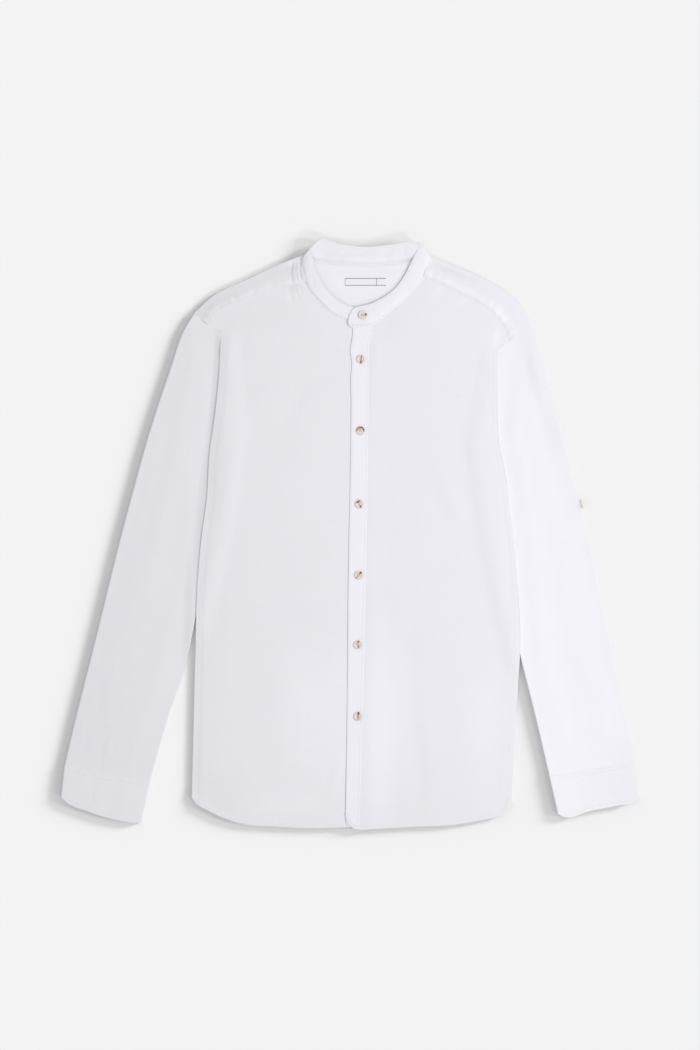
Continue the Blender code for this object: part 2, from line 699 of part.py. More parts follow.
def band_end(share):
    """Row number where the end on top stops: round above, and drawn in a little below."""
    last = len(BAND) - 1
    width = np.linalg.norm(BAND_LOW.row(last)[:2] - BAND_LOW.row(last - 1)[:2])
    height = np.linalg.norm(BAND_HIGH.row(last) - BAND_LOW.row(last))
    above = max(share * height - (height - BAND_CORNER), 0.0)
    below = max(BAND_FOOT - share * height, 0.0) / BAND_FOOT
    cut = BAND_CORNER - math.sqrt(max(BAND_CORNER ** 2 - above ** 2, 0.0))
    cut += BAND_FOOT_CUT * below ** 2
    return last - cut / width


def band_rows():
    """Rows of the band from its lower to its upper edge, from the end below to the end on top."""
    rows = []
    for h in range(BAND_HEIGHT_STEPS + 1):
        share = h / BAND_HEIGHT_STEPS
        numbers = np.linspace(0, len(BAND) - 1, BAND_COLUMNS)
        numbers[-1] = band_end(share)
        rows.append([band_point(number, share) for number in numbers])
    return rows


def material(name, colour, roughness):
    """A plain Principled material."""
    made = bpy.data.materials.new(name)
    made.use_nodes = True
    shader = made.node_tree.nodes["Principled BSDF"]
    shader.inputs["Base Color"].default_value = (*colour, 1.0)
    shader.inputs["Roughness"].default_value = roughness
    shader.inputs["Metallic"].default_value = 0.0
    made.diffuse_color = (*colour, 1.0)
    return made


def keep(mesh, name, finish, collection):
    """An object with its own material, in the shirt's collection."""
    made = bpy.data.objects.new(name, mesh)
    mesh.materials.append(finish)
    collection.objects.link(made)
    return made


def sheet(name, rows, wall, finish, collection, flip=False, offset=-1.0):
    """A grid whose points follow rows of (x, y, z), given a wall by Solidify."""
    row_count = len(rows)
    column_count = len(rows[0])
    bm = bmesh.new()
    bmesh.ops.create_grid(bm, x_segments=column_count - 1, y_segments=row_count - 1, size=1.0)
    ordered = sorted(bm.verts, key=lambda v: (round(v.co.y, 4), round(v.co.x, 4)))
    unused = []
    for index, vert in enumerate(ordered):
        point = rows[index // column_count][index % column_count]
        if point is None:
            unused.append(vert)
        else:
            vert.co = Vector(point) * MM
    bmesh.ops.delete(bm, geom=unused, context="VERTS")
    bmesh.ops.remove_doubles(bm, verts=bm.verts, dist=0.01 * MM)
    if flip:
        bmesh.ops.reverse_faces(bm, faces=bm.faces)
    mesh = bpy.data.meshes.new(name)
    bm.to_mesh(mesh)
    bm.free()
    mesh.shade_smooth()
    made = keep(mesh, name, finish, collection)
    shell = made.modifiers.new("wall", "SOLIDIFY")
    shell.thickness = wall * MM
    shell.offset = offset
    shell.use_even_offset = False
    return made


def transposed(columns):
    """Rows from columns."""
    return [list(row) for row in zip(*columns)]


def button_mesh():
    """Turned button profile at +X, top to bottom: rounded rim round a shallow dish."""
    profile = [(0.0, BUTTON_HEIGHT - BUTTON_DISH[0][1])]
    profile += [(BUTTON_RADIUS - inset, BUTTON_HEIGHT - depth) for inset, depth in BUTTON_DISH]
    profile += [(BUTTON_RADIUS - inset, rise) for inset, rise in BUTTON_UNDER]
    profile.append((0.0, 0.0))
    bm = bmesh.new()
    verts = [bm.verts.new((x * MM, 0.0, z * MM)) for x, z in profile]
    for a, b in zip(verts, verts[1:]):
        bm.edges.new((a, b))
    mesh = bpy.data.meshes.new("button")
    bm.to_mesh(mesh)
    bm.free()
    return mesh


def button(name, finish, collection, place, axis):
    """A button whose underside is centred at place, facing along axis."""
    made = keep(button_mesh(), name, finish, collection)
    turn = made.modifiers.new("turned", "SCREW")
    turn.steps = BUTTON_STEPS
    turn.render_steps = BUTTON_STEPS
    turn.use_merge_vertices = True
    turn.merge_threshold = 0.00001
    turn.use_smooth_shade = True
    made.location = Vector(place) * MM
    made.rotation_euler = Vector(axis).to_track_quat("Z", "Y").to_euler()
    return made


def white(name, tone=1.0):
    """The cloth's material."""
    return material(name, tuple(tone * part for part in CLOTH_COLOUR), CLOTH_ROUGHNESS)


def resin(name):
    """The buttons' material."""
    return material(name, BUTTON_COLOUR, BUTTON_ROUGHNESS)


def collar_button(collection):
    """button_1, on the band's end that lies on top."""
    before, share = BAND_BUTTON
    row = len(BAND) - 1 - before
    beside = band_point(row + 0.2, share) - band_point(row - 0.2, share)
    above = band_point(row, share + 0.1) - band_point(row, share - 0.1)
    face = np.cross(above, beside)
    face /= np.linalg.norm(face)
    place = band_point(row, share) + face * (BAND_CLOTH / 2 + BAND_BUTTON_ROOM)
    button("button_1", resin("button_1"), collection, place, face)


def sleeve_tab_button(collection):
    """tab_button, on edge at the left sleeve's outer fold, tilted a little up."""
    edge_x = OUTER["left"].x_at(TAB_BUTTON_Y)
    slope = (OUTER["left"].x_at(TAB_BUTTON_Y + BUTTON_RADIUS) - edge_x) / BUTTON_RADIUS
    sideways = np.array([1.0, -slope, 0.0]) / math.hypot(1.0, slope)
    upward = np.array([0.0, 0.0, 1.0])
    outward = math.cos(TAB_BUTTON_TILT) * sideways + math.sin(TAB_BUTTON_TILT) * upward
    fold_middle = np.array([edge_x, TAB_BUTTON_Y, FOLD]) - FOLD * sideways
    reach = FOLD + 2 * GAP
    rise = TAB_BUTTON_Z - FOLD
    along = (reach + BUTTON_HEIGHT / 2 - rise * outward[2]) / math.cos(TAB_BUTTON_TILT)
    centre = fold_middle + along * sideways + rise * upward
    place = centre - outward * BUTTON_HEIGHT / 2
    button("tab_button", resin("tab_button"), collection, place, outward)


def neck_label(collection):
    """A bare woven label on the inside of the back."""
    bpy.ops.mesh.primitive_cube_add(size=1.0)
    label = bpy.context.object
    label.name = "neck_label"
    for other in list(label.users_collection):
        other.objects.unlink(label)
    collection.objects.link(label)
    label.data.transform(Matrix.Diagonal((*[side * MM for side in LABEL_SIZE], 1.0)))
    label.location = Vector((*LABEL_CENTRE, CLOTH + GAP + LABEL_SIZE[2] / 2)) * MM
    label.data.materials.append(white("neck_label"))


def build():
    """All pieces of the shirt."""
    for old in list(bpy.data.objects):
        bpy.data.objects.remove(old, do_unlink=True)
    shirt = bpy.data.collections.new("mandarin_collar_shirt")
    bpy.context.scene.collection.children.link(shirt)

    left_rows = front_rows("left")
    sheet("front_right", front_rows("right"), CLOTH, white("front_right"), shirt)
    sheet("front_left", left_rows, CLOTH, white("front_left"), shirt, flip=True)
    placket = [[(x, y, z + GAP + CLOTH) for x, y, z in row[-PLACKET_COLUMNS:]]
               for row in left_rows]
    sheet("placket", placket, CLOTH, white("placket"), shirt, flip=True)
    sheet("back", back_rows(), CLOTH, white("back", BACK_TONE), shirt, flip=True)
    sheet("yoke", transposed(yoke_rows()), CLOTH, white("yoke"), shirt, flip=True)
    sheet("collar_band", band_rows(), BAND_CLOTH, white("collar_band"), shirt, offset=0.0)
    for side in SIDES:
        turned = side == "right"
        sheet(f"sleeve_{side}", sleeve_rows(side), CLOTH, white(f"sleeve_{side}"), shirt,
              flip=turned)
        sheet(f"cuff_{side}", cuff_rows(side), CUFF_CLOTH, white(f"cuff_{side}"), shirt,
              flip=turned)

    collar_button(shirt)
    for number, (x, y) in enumerate(PLACKET_BUTTONS, start=2):
        top = front_top(x, y) + lap(x, y) + GAP + CLOTH
        button(f"button_{number}", resin(f"button_{number}"), shirt, (x, y, top + BUTTON_ROOM),
               (0, 0, 1))
    sleeve_tab_button(shirt)
    neck_label(shirt)


build()
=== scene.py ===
"""Looks of the mandarin collar shirt, laid flat with its front up.

Every piece of cloth is a thin closed shell on the form of its solid, with seams, hems, stitches
and soft creases.  Tables and sizes are in millimetres, in the frame of the CAD model.
"""

import functools
import json
import math

import bmesh
import bpy
import numpy as np
from mathutils import Matrix, Vector
from mathutils.bvhtree import BVHTree

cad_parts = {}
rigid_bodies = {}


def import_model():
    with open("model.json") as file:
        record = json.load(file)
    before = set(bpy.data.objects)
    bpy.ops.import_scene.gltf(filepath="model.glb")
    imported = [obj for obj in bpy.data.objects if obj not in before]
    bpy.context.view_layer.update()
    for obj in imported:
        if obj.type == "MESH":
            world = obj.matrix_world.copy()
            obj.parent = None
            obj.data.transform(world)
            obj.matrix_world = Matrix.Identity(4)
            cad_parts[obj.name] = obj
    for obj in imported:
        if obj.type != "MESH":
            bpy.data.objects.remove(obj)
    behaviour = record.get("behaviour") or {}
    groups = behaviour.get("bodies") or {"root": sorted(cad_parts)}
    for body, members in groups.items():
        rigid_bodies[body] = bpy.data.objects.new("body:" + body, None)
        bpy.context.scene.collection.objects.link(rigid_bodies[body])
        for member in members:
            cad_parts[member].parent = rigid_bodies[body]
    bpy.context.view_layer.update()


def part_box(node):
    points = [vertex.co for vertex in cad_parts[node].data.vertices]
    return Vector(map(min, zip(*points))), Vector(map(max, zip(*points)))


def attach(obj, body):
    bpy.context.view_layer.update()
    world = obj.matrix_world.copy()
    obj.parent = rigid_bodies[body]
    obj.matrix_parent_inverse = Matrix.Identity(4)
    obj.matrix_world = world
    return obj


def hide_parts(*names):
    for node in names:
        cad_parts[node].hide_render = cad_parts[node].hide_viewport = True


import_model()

MM = 0.001

# Cloth and seams
CLOTH = 1.1            # wall of a single panel
BAND_CLOTH = 1.6       # wall of the collar band
GAP = 0.3              # room between pieces that lie on each other
FOLD = 1.8             # outer radius where the body folds from front to back
CUFF_FOLD = 2.05       # outer radius of a cuff's two folds
STRIP = 3.0            # height of a sleeve where the body lies on it
UNDERLAY = 3.4         # how far the body is lifted over that strip
LAP = 1.5              # the left front lies this much higher where it laps the right one
PLACKET = 26.0         # width of the buttonhole placket
UNDERLAP = 24.0        # how far the right front reaches under the placket
CROWN = 1.3            # the front stands this much higher away from its edges
CROWN_EDGE = 45.0      # width over which that height grows
SLEEVE_CROWN = 1.7     # the same for a sleeve
INNER_GAP = 3.9        # the most room left between two layers
FADE = 25.0            # width over which the body comes down beside a sleeve
STRIP_MARGIN = 5.0     # width past the sleeve's edge before it does so

BUTTON_RADIUS = 5.7
BUTTON_HEIGHT = 2.2

# Side edges of the body, from the hem's corner up to the armhole (x, y)
SIDE_EDGE = {
    "right": [(-210, -350), (-208, -270), (-205, -150), (-203, -79), (-197, -5), (-190, 47),
              (-186, 112), (-180, 153), (-174, 210), (-171, 271)],
    "left": [(214, -355), (218, -273), (223, -200), (226, -130), (221, -51), (213, 26),
             (205, 86), (198, 118), (196, 166), (197, 247)],
}
# Armhole seam on top, from the body's edge up to the shoulder point (x, y)
ARMHOLE = {
    "right": [(-171, 271), (-189, 279), (-207.5, 292.6)],
    "left": [(197, 247), (214, 257), (239.4, 285.3)],
}
# Seam from yoke to front, from the armhole to the neck (x, y)
YOKE_SEAM = {
    "right": [(-189, 279), (-178, 297), (-160, 305.5), (-120, 321), (-60.5, 337)],
    "left": [(214, 257), (201, 286), (186, 300), (146, 321), (100.5, 343.5)],
}
# Edge of the shoulder, from its point to the neck (x, y)
SHOULDER = {
    "right": [(-207.5, 292.6), (-182, 316), (-136, 338.5), (-101, 355), (-64.5, 370)],
    "left": [(239.4, 285.3), (225, 308), (182, 338), (137, 357), (109.8, 369)],
}
# Outer edge of a sleeve, from the shoulder point to the cuff's seam (x, y)
SLEEVE_OUTER = {
    "right": [(-207.5, 292.6), (-221, 270.7), (-238, 222), (-264, 144), (-295, 33),
              (-343, -159), (-367, -255), (-379, -306.6)],
    "left": [(239.4, 285.3), (250, 254), (275, 160), (308, 34), (336.5, -95),
             (362, -223), (378, -299)],
}
# Inner edge of a sleeve, from the point hidden under the body to the cuff's seam (x, y)
SLEEVE_INNER = {
    "right": [(-160, 136), (-180, 6), (-204, -103), (-219.5, -175), (-241, -239), (-266, -326.5)],
    "left": [(176, 119), (195.5, -14), (210, -87), (225, -155), (246, -239), (265, -320)],
}
# Seam from sleeve to cuff, from the outer edge to the inner one (x, y)
CUFF_SEAM = {
    "right": [(-379, -306.6), (-336, -317.6), (-266, -326.5)],
    "left": [(378, -299), (337, -309), (265, -320)],
}
# Lower edge of a cuff, from the outer edge to the inner one (x, y)
CUFF_END = {
    "right": [(-383.7, -349), (-377, -355.5), (-347, -368.4), (-307, -379.8), (-283, -382.8),
              (-278, -382.2)],
    "left": [(382.8, -348), (379, -354.5), (355, -360.3), (320, -367), (284.4, -375.3),
             (277, -371.7)],
}
# Hem, from the side edge to the front edge (x, y)
HEM = {
    "right": [(-210, -350), (-205, -357), (-190, -366), (-169, -376), (-149, -383),
              (-98, -388), (-54, -390), (18, -388)],
    "left": [(214, -355), (208, -370), (189, -376.5), (172, -380), (138, -385.6), (88, -388),
             (37, -390.6), (4, -390), (-2.5, -385.5), (-6, -374)],
}
# Front edge of the left front, from the hem to the neck (x, y)
FRONT_EDGE = [(-6, -374), (-4.3, -280), (-1.7, -34), (1.3, 118), (1.8, 179), (1.4, 212),
              (2.8, 224), (0.6, 245), (3.6, 266), (3.8, 273)]

# Collar band: its lower and upper edge, from the end below to the end on top
# (x, y, z at the lower edge, x, y, z at the upper edge), in the middle of its wall
BAND = [
    (29.3, 281.5, 4.9, 30.6, 305.2, 4.7),      # end below
    (2.7, 281.6, 5.0, 4.0, 301.9, 4.9),
    (-21.3, 291.3, 5.0, -14.6, 309.9, 5.8),
    (-42.6, 310.6, 5.0, -30.6, 323.9, 6.4),
    (-57.2, 329.2, 5.0, -41.3, 341.1, 7.0),
    (-62.5, 349.1, 4.9, -47.6, 357.1, 7.8),
    (-62.0, 368.6, 4.7, -50.8, 381.6, 8.8),    # where it folds to the back
    (-50.5, 364.8, 2.7, -40.8, 391.2, 8.0),
    (-20.0, 359.8, 2.1, -13.3, 385.7, 6.2),
    (16.0, 357.8, 2.1, 20.0, 382.0, 5.6),      # middle of the back
    (55.9, 359.8, 2.1, 55.9, 385.0, 6.2),
    (90.4, 365.1, 2.7, 79.8, 388.4, 8.0),
    (108.4, 367.6, 4.7, 90.9, 387.4, 9.0),     # where it folds to the front
    (102.4, 351.8, 4.9, 83.1, 365.1, 8.0),
    (93.1, 331.8, 5.0, 73.8, 346.0, 7.0),
    (75.8, 314.6, 5.3, 61.3, 328.2, 6.4),
    (54.5, 297.3, 6.0, 43.0, 314.0, 6.4),
    (30.6, 278.0, 6.9, 25.0, 305.6, 6.9),
    (-4.0, 275.0, 7.0, 1.5, 301.0, 7.0),       # end on top
]
BAND_RIGHT_NECK = (0.0, 4.32)     # rows of the band that the right front follows
BAND_LEFT_NECK = (17.79, 13.42)
BAND_CORNER = 12.0                # radius of the upper corner of the end on top

# Soft folds: from (x, y) to (x, y), half width, height
FRONT_FOLDS = [
    (93, -400, 73, -87, 24, -0.9), (45, -330, 60, -120, 30, 0.6), (40, 265, 33, 152, 16, 0.5),
    (112, 98, 152, 9, 20, 0.8), (-47, 207, -133, 86, 24, -0.7), (-150, 40, -120, -150, 34, 0.5),
    (-40, -250, -55, -370, 20, -0.6), (150, -160, 175, -330, 26, 0.6),
]
SLEEVE_FOLDS = {
    "right": [
        (-230, 200, -285, -40, 14, -0.7), (-330, -170, -345, -290, 13, -0.7),
        (-262, -20, -300, -200, 18, 0.5),
    ],
    "left": [
        (262, 170, 300, -20, 14, -0.7), (335, -170, 345, -285, 13, 0.6),
        (262, -60, 292, -230, 18, -0.6),
    ],
}

# Places of the placket's buttons (x, y), from the collar down
PLACKET_BUTTONS = [(14.6, 232.8), (14.0, 138.3), (12.6, 40.6), (12.0, -53.9), (10.6, -146.3),
                   (10.6, -241.4)]
TAB_BUTTON_Y = 40.6
TAB_BUTTON_TILT = math.radians(3)

LABEL_CENTRE = (20.6, 335.8)
LABEL_SIZE = (54.5, 10.6)

# Creases beyond the solids' folds: x and y of each point along it, half width, height
FRONT_CREASES = {
    "right": [
        (-78, 345, -74, 332, -70, 318, -63, 304, 1.6, -0.9),
        (-72, 345, -67, 330, -63, 318, 1.4, -0.8), (-84, 331, -79, 318, -76, 306, 2.6, -0.5),
        (-90, 330, -60, 318, -50, 300, 9, -0.5),
        (-165, 300, -168, 284, -163, 264, -158, 246, 3, -0.4),
        (-152, 301, -154, 286, -150, 268, 3.6, 0.35), (-50, 205, -80, 160, -120, 105, 9, -0.35),
        (-13, -280, -19, -325, -26, -353, 6, 0.5), (-22, -290, -30, -330, -36, -360, 7, -0.3),
        (-124, -53, -70, -56, -14, -54, 5, 0.16), (-185, -20, -188, -110, -192, -190, 6, -0.35),
        (-178, 40, -180, -60, -182, -150, 8, 0.3), (-110, 240, -135, 180, -140, 110, 18, -0.3),
        (-75, -90, -95, -200, -90, -300, 22, 0.35), (-150, -215, -165, -280, -160, -340, 14, -0.3),
    ],
    "left": [
        (34, 268, 33, 215, 30, 160, 5, 0.45), (44, 250, 42, 205, 40, 165, 6, -0.35),
        (112, 98, 130, 52, 152, 9, 9, 0.4), (104, 86, 120, 44, 140, 4, 10, -0.3),
        (93, -390, 88, -300, 80, -200, 74, -90, 11, -0.8),
        (112, -385, 104, -300, 94, -220, 12, 0.4), (126, 341, 146, 325, 160, 314, 4, -0.35),
        (118, 352, 128, 346, 3, -0.3), (29, 106, 57, 105, 4, 0.16),
        (205, 40, 213, -40, 212, -130, 6, -0.35), (196, 30, 202, -50, 200, -150, 8, 0.3),
        (55, -120, 62, -210, 58, -320, 12, 0.3), (150, -60, 160, -170, 172, -260, 16, -0.3),
        (110, 230, 118, 170, 100, 120, 20, -0.3),
    ],
}
BACK_CREASES = [
    (-60, -380, -70, -220, -50, -40, 14, -0.5), (70, -385, 60, -250, 75, -90, 16, 0.5),
    (-140, 200, -100, 120, -110, 20, 18, -0.5), (150, 180, 110, 90, 120, -20, 16, 0.45),
    (0, 220, 8, 100, -4, -60, 12, 0.4),
]
SLEEVE_CREASES = {
    "right": [
        (-328, -270, -331, -300, -333, -325, 3.2, -0.6), (-318, -262, -320, -300, 4, 0.4),
        (-262, 170, -280, 60, -300, -20, 7, -0.35), (-345, -230, -352, -280, -353, -300, 5, -0.35),
        (-290, -140, -306, -200, -312, -262, 9, -0.4), (-232, 250, -222, 236, -216, 215, 5, -0.4),
        (-248, 60, -262, -30, -276, -110, 10, 0.35), (-270, -230, -288, -285, -292, -318, 6, 0.35),
    ],
    "left": [
        (318, 18, 316, -20, 311, -48, 3, -0.4), (232, 262, 236, 240, 234, 215, 4, -0.45),
        (246, 256, 250, 225, 4, 0.3), (250, 60, 268, -30, 280, -120, 10, -0.35),
        (300, -130, 318, -210, 330, -290, 9, 0.4), (282, -190, 296, -250, 304, -300, 8, -0.35),
        (345, -190, 358, -250, 364, -290, 6, 0.35), (230, 170, 238, 90, 248, 10, 9, -0.4),
    ],
}
CUFF_CREASES = {
    "right": [
        (-339, -322, -343, -345, -341, -362, 3.4, -0.35),
        (-306, -330, -303, -352, -306, -372, 6, 0.25),
    ],
    "left": [
        (318, -320, 322, -340, 320, -360, 4, -0.2), (352, -312, 352, -335, 350, -352, 6, 0.2),
    ],
}
YOKE_CREASES = [
    (-76, 374, -77.5, 358, -78, 344, -74, 328, 1.5, -1.3),
    (-71, 372, -72, 357, -71, 344, -67, 328, 1.1, -0.8),
    (-66, 370, -67, 356, -66, 344, -62, 332, 1.2, -1.1), (-66, 380, -70, 358, -68, 336, 7, -1.3),
    (118, 354, 126, 350, 1.6, -0.7), (130, 352, 150, 344, 170, 334, 4, -0.5),
    (-176, 314, -166, 306, -160, 300, 3.4, -0.4), (124, 360, 134, 350, 143, 342, 3, -0.35),
    (206, 306, 214, 292, 216, 280, 4, -0.35),
]
PLACKET_CREASES = [
    (2, 262, 12, 256, 22, 258, 3, 0.25), (3, 216, 14, 221, 24, 217, 3, 0.22),
    (0, 100, 12, 96, 22, 99, 4, -0.2), (-1, -10, 10, -16, 20, -12, 4, 0.2),
    (-3, -120, 9, -114, 19, -119, 4, -0.2), (-4, -300, 8, -306, 18, -300, 4, 0.2),
]
# The same for the band: along it and up from its lower edge
BAND_CREASES = [
    (206, 4, 230, 12, 254, 22, 2.2, -0.95), (202, 9, 222, 16, 242, 25, 2, 0.7),
    (190, 4, 202, 12, 216, 22, 2.4, -0.6), (256, 5, 262, 14, 266, 25, 2, -0.6),
    (272, 4, 274, 14, 276, 25, 2, 0.55), (284, 3, 285, 14, 284, 26, 2, -0.5),
    (220, 22, 238, 25, 2.2, -0.5), (150, 3, 146, 12, 150, 22, 1.8, -0.5),
    (138, 4, 134, 17, 1.8, -0.4), (96, 5, 104, 15, 112, 20, 2.2, -0.3),
    (372, 4, 378, 14, 384, 22, 2.4, -0.35), (404, 6, 410, 18, 2.4, 0.3),
    (340, 8, 348, 20, 2.2, -0.3),
]

OUTWARD = {"right": -1.0, "left": 1.0}
SIDES = ("right", "left")
ENDS = (0.0, 1.0)

ARMHOLE_START = 28 / 30    # share of a panel's height where its side reaches the armhole
SEAM_SHARE = 0.58          # share of a front's width that runs up to the shoulder seam
PLACKET_SHARE = 0.84       # share of the left front's width where its placket starts
PLACKET_TOP = 0.72         # share of its neck edge where the placket starts
PANEL_LENGTH = 690.0       # usual sizes of panels, sleeves, cuffs and band, for spacing rows
FRONT_WIDTH = 225.0
BACK_WIDTH = 425.0
TUBE_WIDTH = 120.0
SLEEVE_LENGTH = 600.0
CUFF_LENGTH = 54.0
CUFF_WIDTH = 110.0
ARMHOLE_WIDTH = 40.0
BAND_STEP = 26.0           # from one row of the band to the next
BAND_HEIGHT = 28.0

WALL = 0.6                 # thickness of plain cloth
HEM_WIDTH = 5.5            # depth of the turned hem
HEM_WALL = 1.1             # thickness of the turned hem
PRESSED = 1.0              # reach of a pressed fold, across
SIDE_STEPS = 8             # points round the fold of a panel's side
STITCH = (2.0, 0.7, 0.19)  # length of a stitch, room to the next one, radius of the thread
STITCH_SINK = 0.03         # how deep a stitch lies in its groove
HEM_SEAM = HEM_WIDTH - 1.0               # rows of stitches, from the piece's edge
PLACKET_SEAMS = (2.0, PLACKET - 2.4)
YOKE_SEAMS = (1.6, 6.6)
CUFF_SEAMS = (1.8, 6.5)                  # from the sleeve's seam
CUFF_END_SEAM = 4.5
BAND_SEAMS = (2.2, 26.0)

NECK_SHOWS = -1.2          # from the band's lower edge to the cloth beside it
SEEN_LAP = 0.6             # share of the lap's height that shows
PLACKET_RISE = 0.95        # the placket's upper face stands this much above the front
YOKE_WALL = 1.0            # the yoke is doubled
YOKE_OVER = 0.5            # the yoke's seam lies this far over the front's edge
YOKE_STEPS = 12            # rows of the yoke's lower layer, points round its fold, rows on top
FOLD_STEPS = 13
YOKE_TOP_STEPS = 44
YOKE_NECK = (6.35, 11.65, 60)            # rows of the band over the yoke, number of columns
SHOULDER_EDGE = 0.8        # reach of the shoulder's pressed fold, across
# Where a shoulder's edge ends, under the band
SHOULDER_END = {"right": (-60.0, 371.6), "left": (105.0, 370.6)}
# How much a piece rolls down towards an edge, and over which width
SIDE_ROLL = {"right": (1.6, 13.0), "left": (0.3, 12.0)}
SHOULDER_ROLL = {"right": (1.7, 17.0), "left": (0.5, 20.0)}
ARM_ROOM = -0.8            # room between the body's edge and the sleeve at the armhole
ARC_STEPS = 9              # points round a tube's fold
BOTTOM_STEP = 3            # a tube's underside keeps one column of so many
# Column shares across a sleeve that meet the yoke's seam, the body's edge and the strip under it
SLEEVE_CORNERS = (0.25, 0.38, 0.52)
BAND_LAST = len(BAND) - 1
BAND_WALL = 1.5
BAND_FOOT = 9.0            # height over which the end on top draws in below
BAND_FOOT_CUT = 6.5
# Rows of the band: how much its upper edge sinks there, and how much its lower edge settles
BAND_SAG = ([0, 12, 13, 14, 15, 16, 17, 18], [0, 0.1, 2.3, 2.6, 2.2, 1.4, 0.4, 0.2])
BAND_SETTLES = ([0, 1, 2, 6, 7, 11, 12, 15, 16, 18],
                [0.4, 0.5, 1.1, 1.1, 1.2, 1.2, 0.8, 1.2, 1.5, 1.4])
LIFT_ABOVE = 9.0           # the lift over a sleeve starts this far above the armhole's end,
LIFT_GROWS = 35.0          # grows over this length,
LIFT_BELOW = 8.0           # holds to this far below the place where the sleeve comes out,
LIFT_FADES = 50.0          # and fades over this length


def smooth(t):
    """0 below 0, 1 above 1, and a soft step between."""
    t = np.clip(t, 0.0, 1.0)
    return t * t * (3.0 - 2.0 * t)


def bell(distance, width):
    """A rounded ridge of height one along distance 0."""
    return np.exp(-(distance / width) ** 2)


def off_ends(share, reach):
    """0 at both ends of a run of shares, 1 further in than reach."""
    return smooth(np.minimum(share, 1 - share) / reach)


def unit(vectors):
    """Vectors of length one."""
    return vectors / np.maximum(np.linalg.norm(vectors, axis=-1), 1e-9)[..., None]


class Line:
    """A line through a few points, soft within each piece and cornered between pieces."""

    STEPS = 12

    def __init__(self, *pieces):
        dense, corners = [], []
        for piece in pieces:
            run = self._soften(np.array(piece, dtype=float))
            if dense:
                corners.append(len(dense) - 1)
                run = run[1:]
            dense.extend(run)
        self.dense = np.array(dense)
        lengths = np.linalg.norm(np.diff(self.dense, axis=0), axis=1)
        self.travel = np.concatenate([[0.0], np.cumsum(lengths)])
        self.length = self.travel[-1]
        self.corner_shares = [self.travel[i] / self.length for i in corners]
        order = np.argsort(self.dense[:, 1])
        self.by_y = self.dense[order, 1], self.dense[order, 0]

    def _soften(self, points):
        """Hermite segments whose slopes come from the neighbours' distances."""
        if len(points) == 2:
            return list(points)
        gaps = np.linalg.norm(np.diff(points, axis=0), axis=1)
        rates = np.diff(points, axis=0) / gaps[:, None]
        slopes = [rates[0], *((rates[i - 1] * gaps[i] + rates[i] * gaps[i - 1])
                              / (gaps[i - 1] + gaps[i]) for i in range(1, len(rates))), rates[-1]]
        run = [points[0]]
        for i, gap in enumerate(gaps):
            for step in range(1, self.STEPS + 1):
                t = step / self.STEPS
                run.append((2 * t ** 3 - 3 * t ** 2 + 1) * points[i]
                           + (t ** 3 - 2 * t ** 2 + t) * gap * slopes[i]
                           + (-2 * t ** 3 + 3 * t ** 2) * points[i + 1]
                           + (t ** 3 - t ** 2) * gap * slopes[i + 1])
        return run

    def at(self, share):
        """The point at a share of the line's length."""
        where = np.clip(share, 0.0, 1.0) * self.length
        return np.stack([np.interp(where, self.travel, values) for values in self.dense.T], -1)

    def row(self, number):
        """The point at a row number of a line made of one piece."""
        where = np.asarray(number, dtype=float) * self.STEPS
        rows = np.arange(len(self.dense))
        return np.stack([np.interp(where, rows, values) for values in self.dense.T], -1)

    def x_at(self, y):
        """x where a line that runs along Y passes y."""
        return np.interp(y, *self.by_y)

    def near(self, x, y):
        """Distance of each point to the line, and the share of its length where it is nearest."""
        best = np.full(np.shape(x), 1e9)
        share = np.zeros(np.shape(x))
        points = self.dense[:, :2]
        for i, (a, b) in enumerate(zip(points, points[1:])):
            run = b - a
            long = max(float(run @ run), 1e-9)
            t = np.clip(((x - a[0]) * run[0] + (y - a[1]) * run[1]) / long, 0.0, 1.0)
            away = np.hypot(x - a[0] - t * run[0], y - a[1] - t * run[1])
            closer = away < best
            best = np.where(closer, away, best)
            here = self.travel[i] + t * (self.travel[i + 1] - self.travel[i])
            share = np.where(closer, here / self.length, share)
        return best, share


def moved_off(points, distance):
    """An open row of points, moved sideways to the left of its direction."""
    points = np.array(points, dtype=float)
    ahead = unit(np.gradient(points, axis=0))
    return points + distance * np.stack([-ahead[:, 1], ahead[:, 0]], axis=1)


SIDE = {side: Line(SIDE_EDGE[side]) for side in SIDES}
PANEL_SIDE = {side: Line(SIDE_EDGE[side], ARMHOLE[side][:2]) for side in SIDES}
OUTER = {side: Line(SLEEVE_OUTER[side]) for side in SIDES}
INNER = {side: Line(SLEEVE_INNER[side]) for side in SIDES}
SEAM = {side: Line(YOKE_SEAM[side]) for side in SIDES}
FRONT = Line(FRONT_EDGE)
BAND_LOW = Line([row[:3] for row in BAND])
BAND_HIGH = Line([row[3:] for row in BAND])
HEM_CURVE = {side: Line(HEM[side]) for side in SIDES}
BACK_HEM = Line(HEM["right"][:-1] + HEM["left"][-4::-1])
BACK_SEAM = Line([YOKE_SEAM["right"][0], YOKE_SEAM["left"][0]])
TOP_LINE = np.array(sorted(YOKE_SEAM["right"] + YOKE_SEAM["left"] + [(4, 273), (29, 275)])).T
HEM_LINE = np.array(sorted(HEM["right"][:-1] + HEM["left"][:-2])).T


def strip_edge(side):
    """Inner edge of the sleeve's hidden strip, as a line that runs down the body."""
    start_y = SIDE_EDGE[side][-1][1] + LIFT_ABOVE - LIFT_GROWS
    start = (float(SIDE[side].x_at(start_y)), start_y)
    return start, Line([start, SLEEVE_INNER[side][0]], SLEEVE_INNER[side])


def emerges(side):
    """y where the sleeve's inner edge comes out from under the body."""
    y = np.arange(SLEEVE_INNER[side][0][1], -300.0, -1.0)
    out = OUTWARD[side] * (INNER[side].x_at(y) - SIDE[side].x_at(y)) > 0
    return float(y[np.argmax(out)])


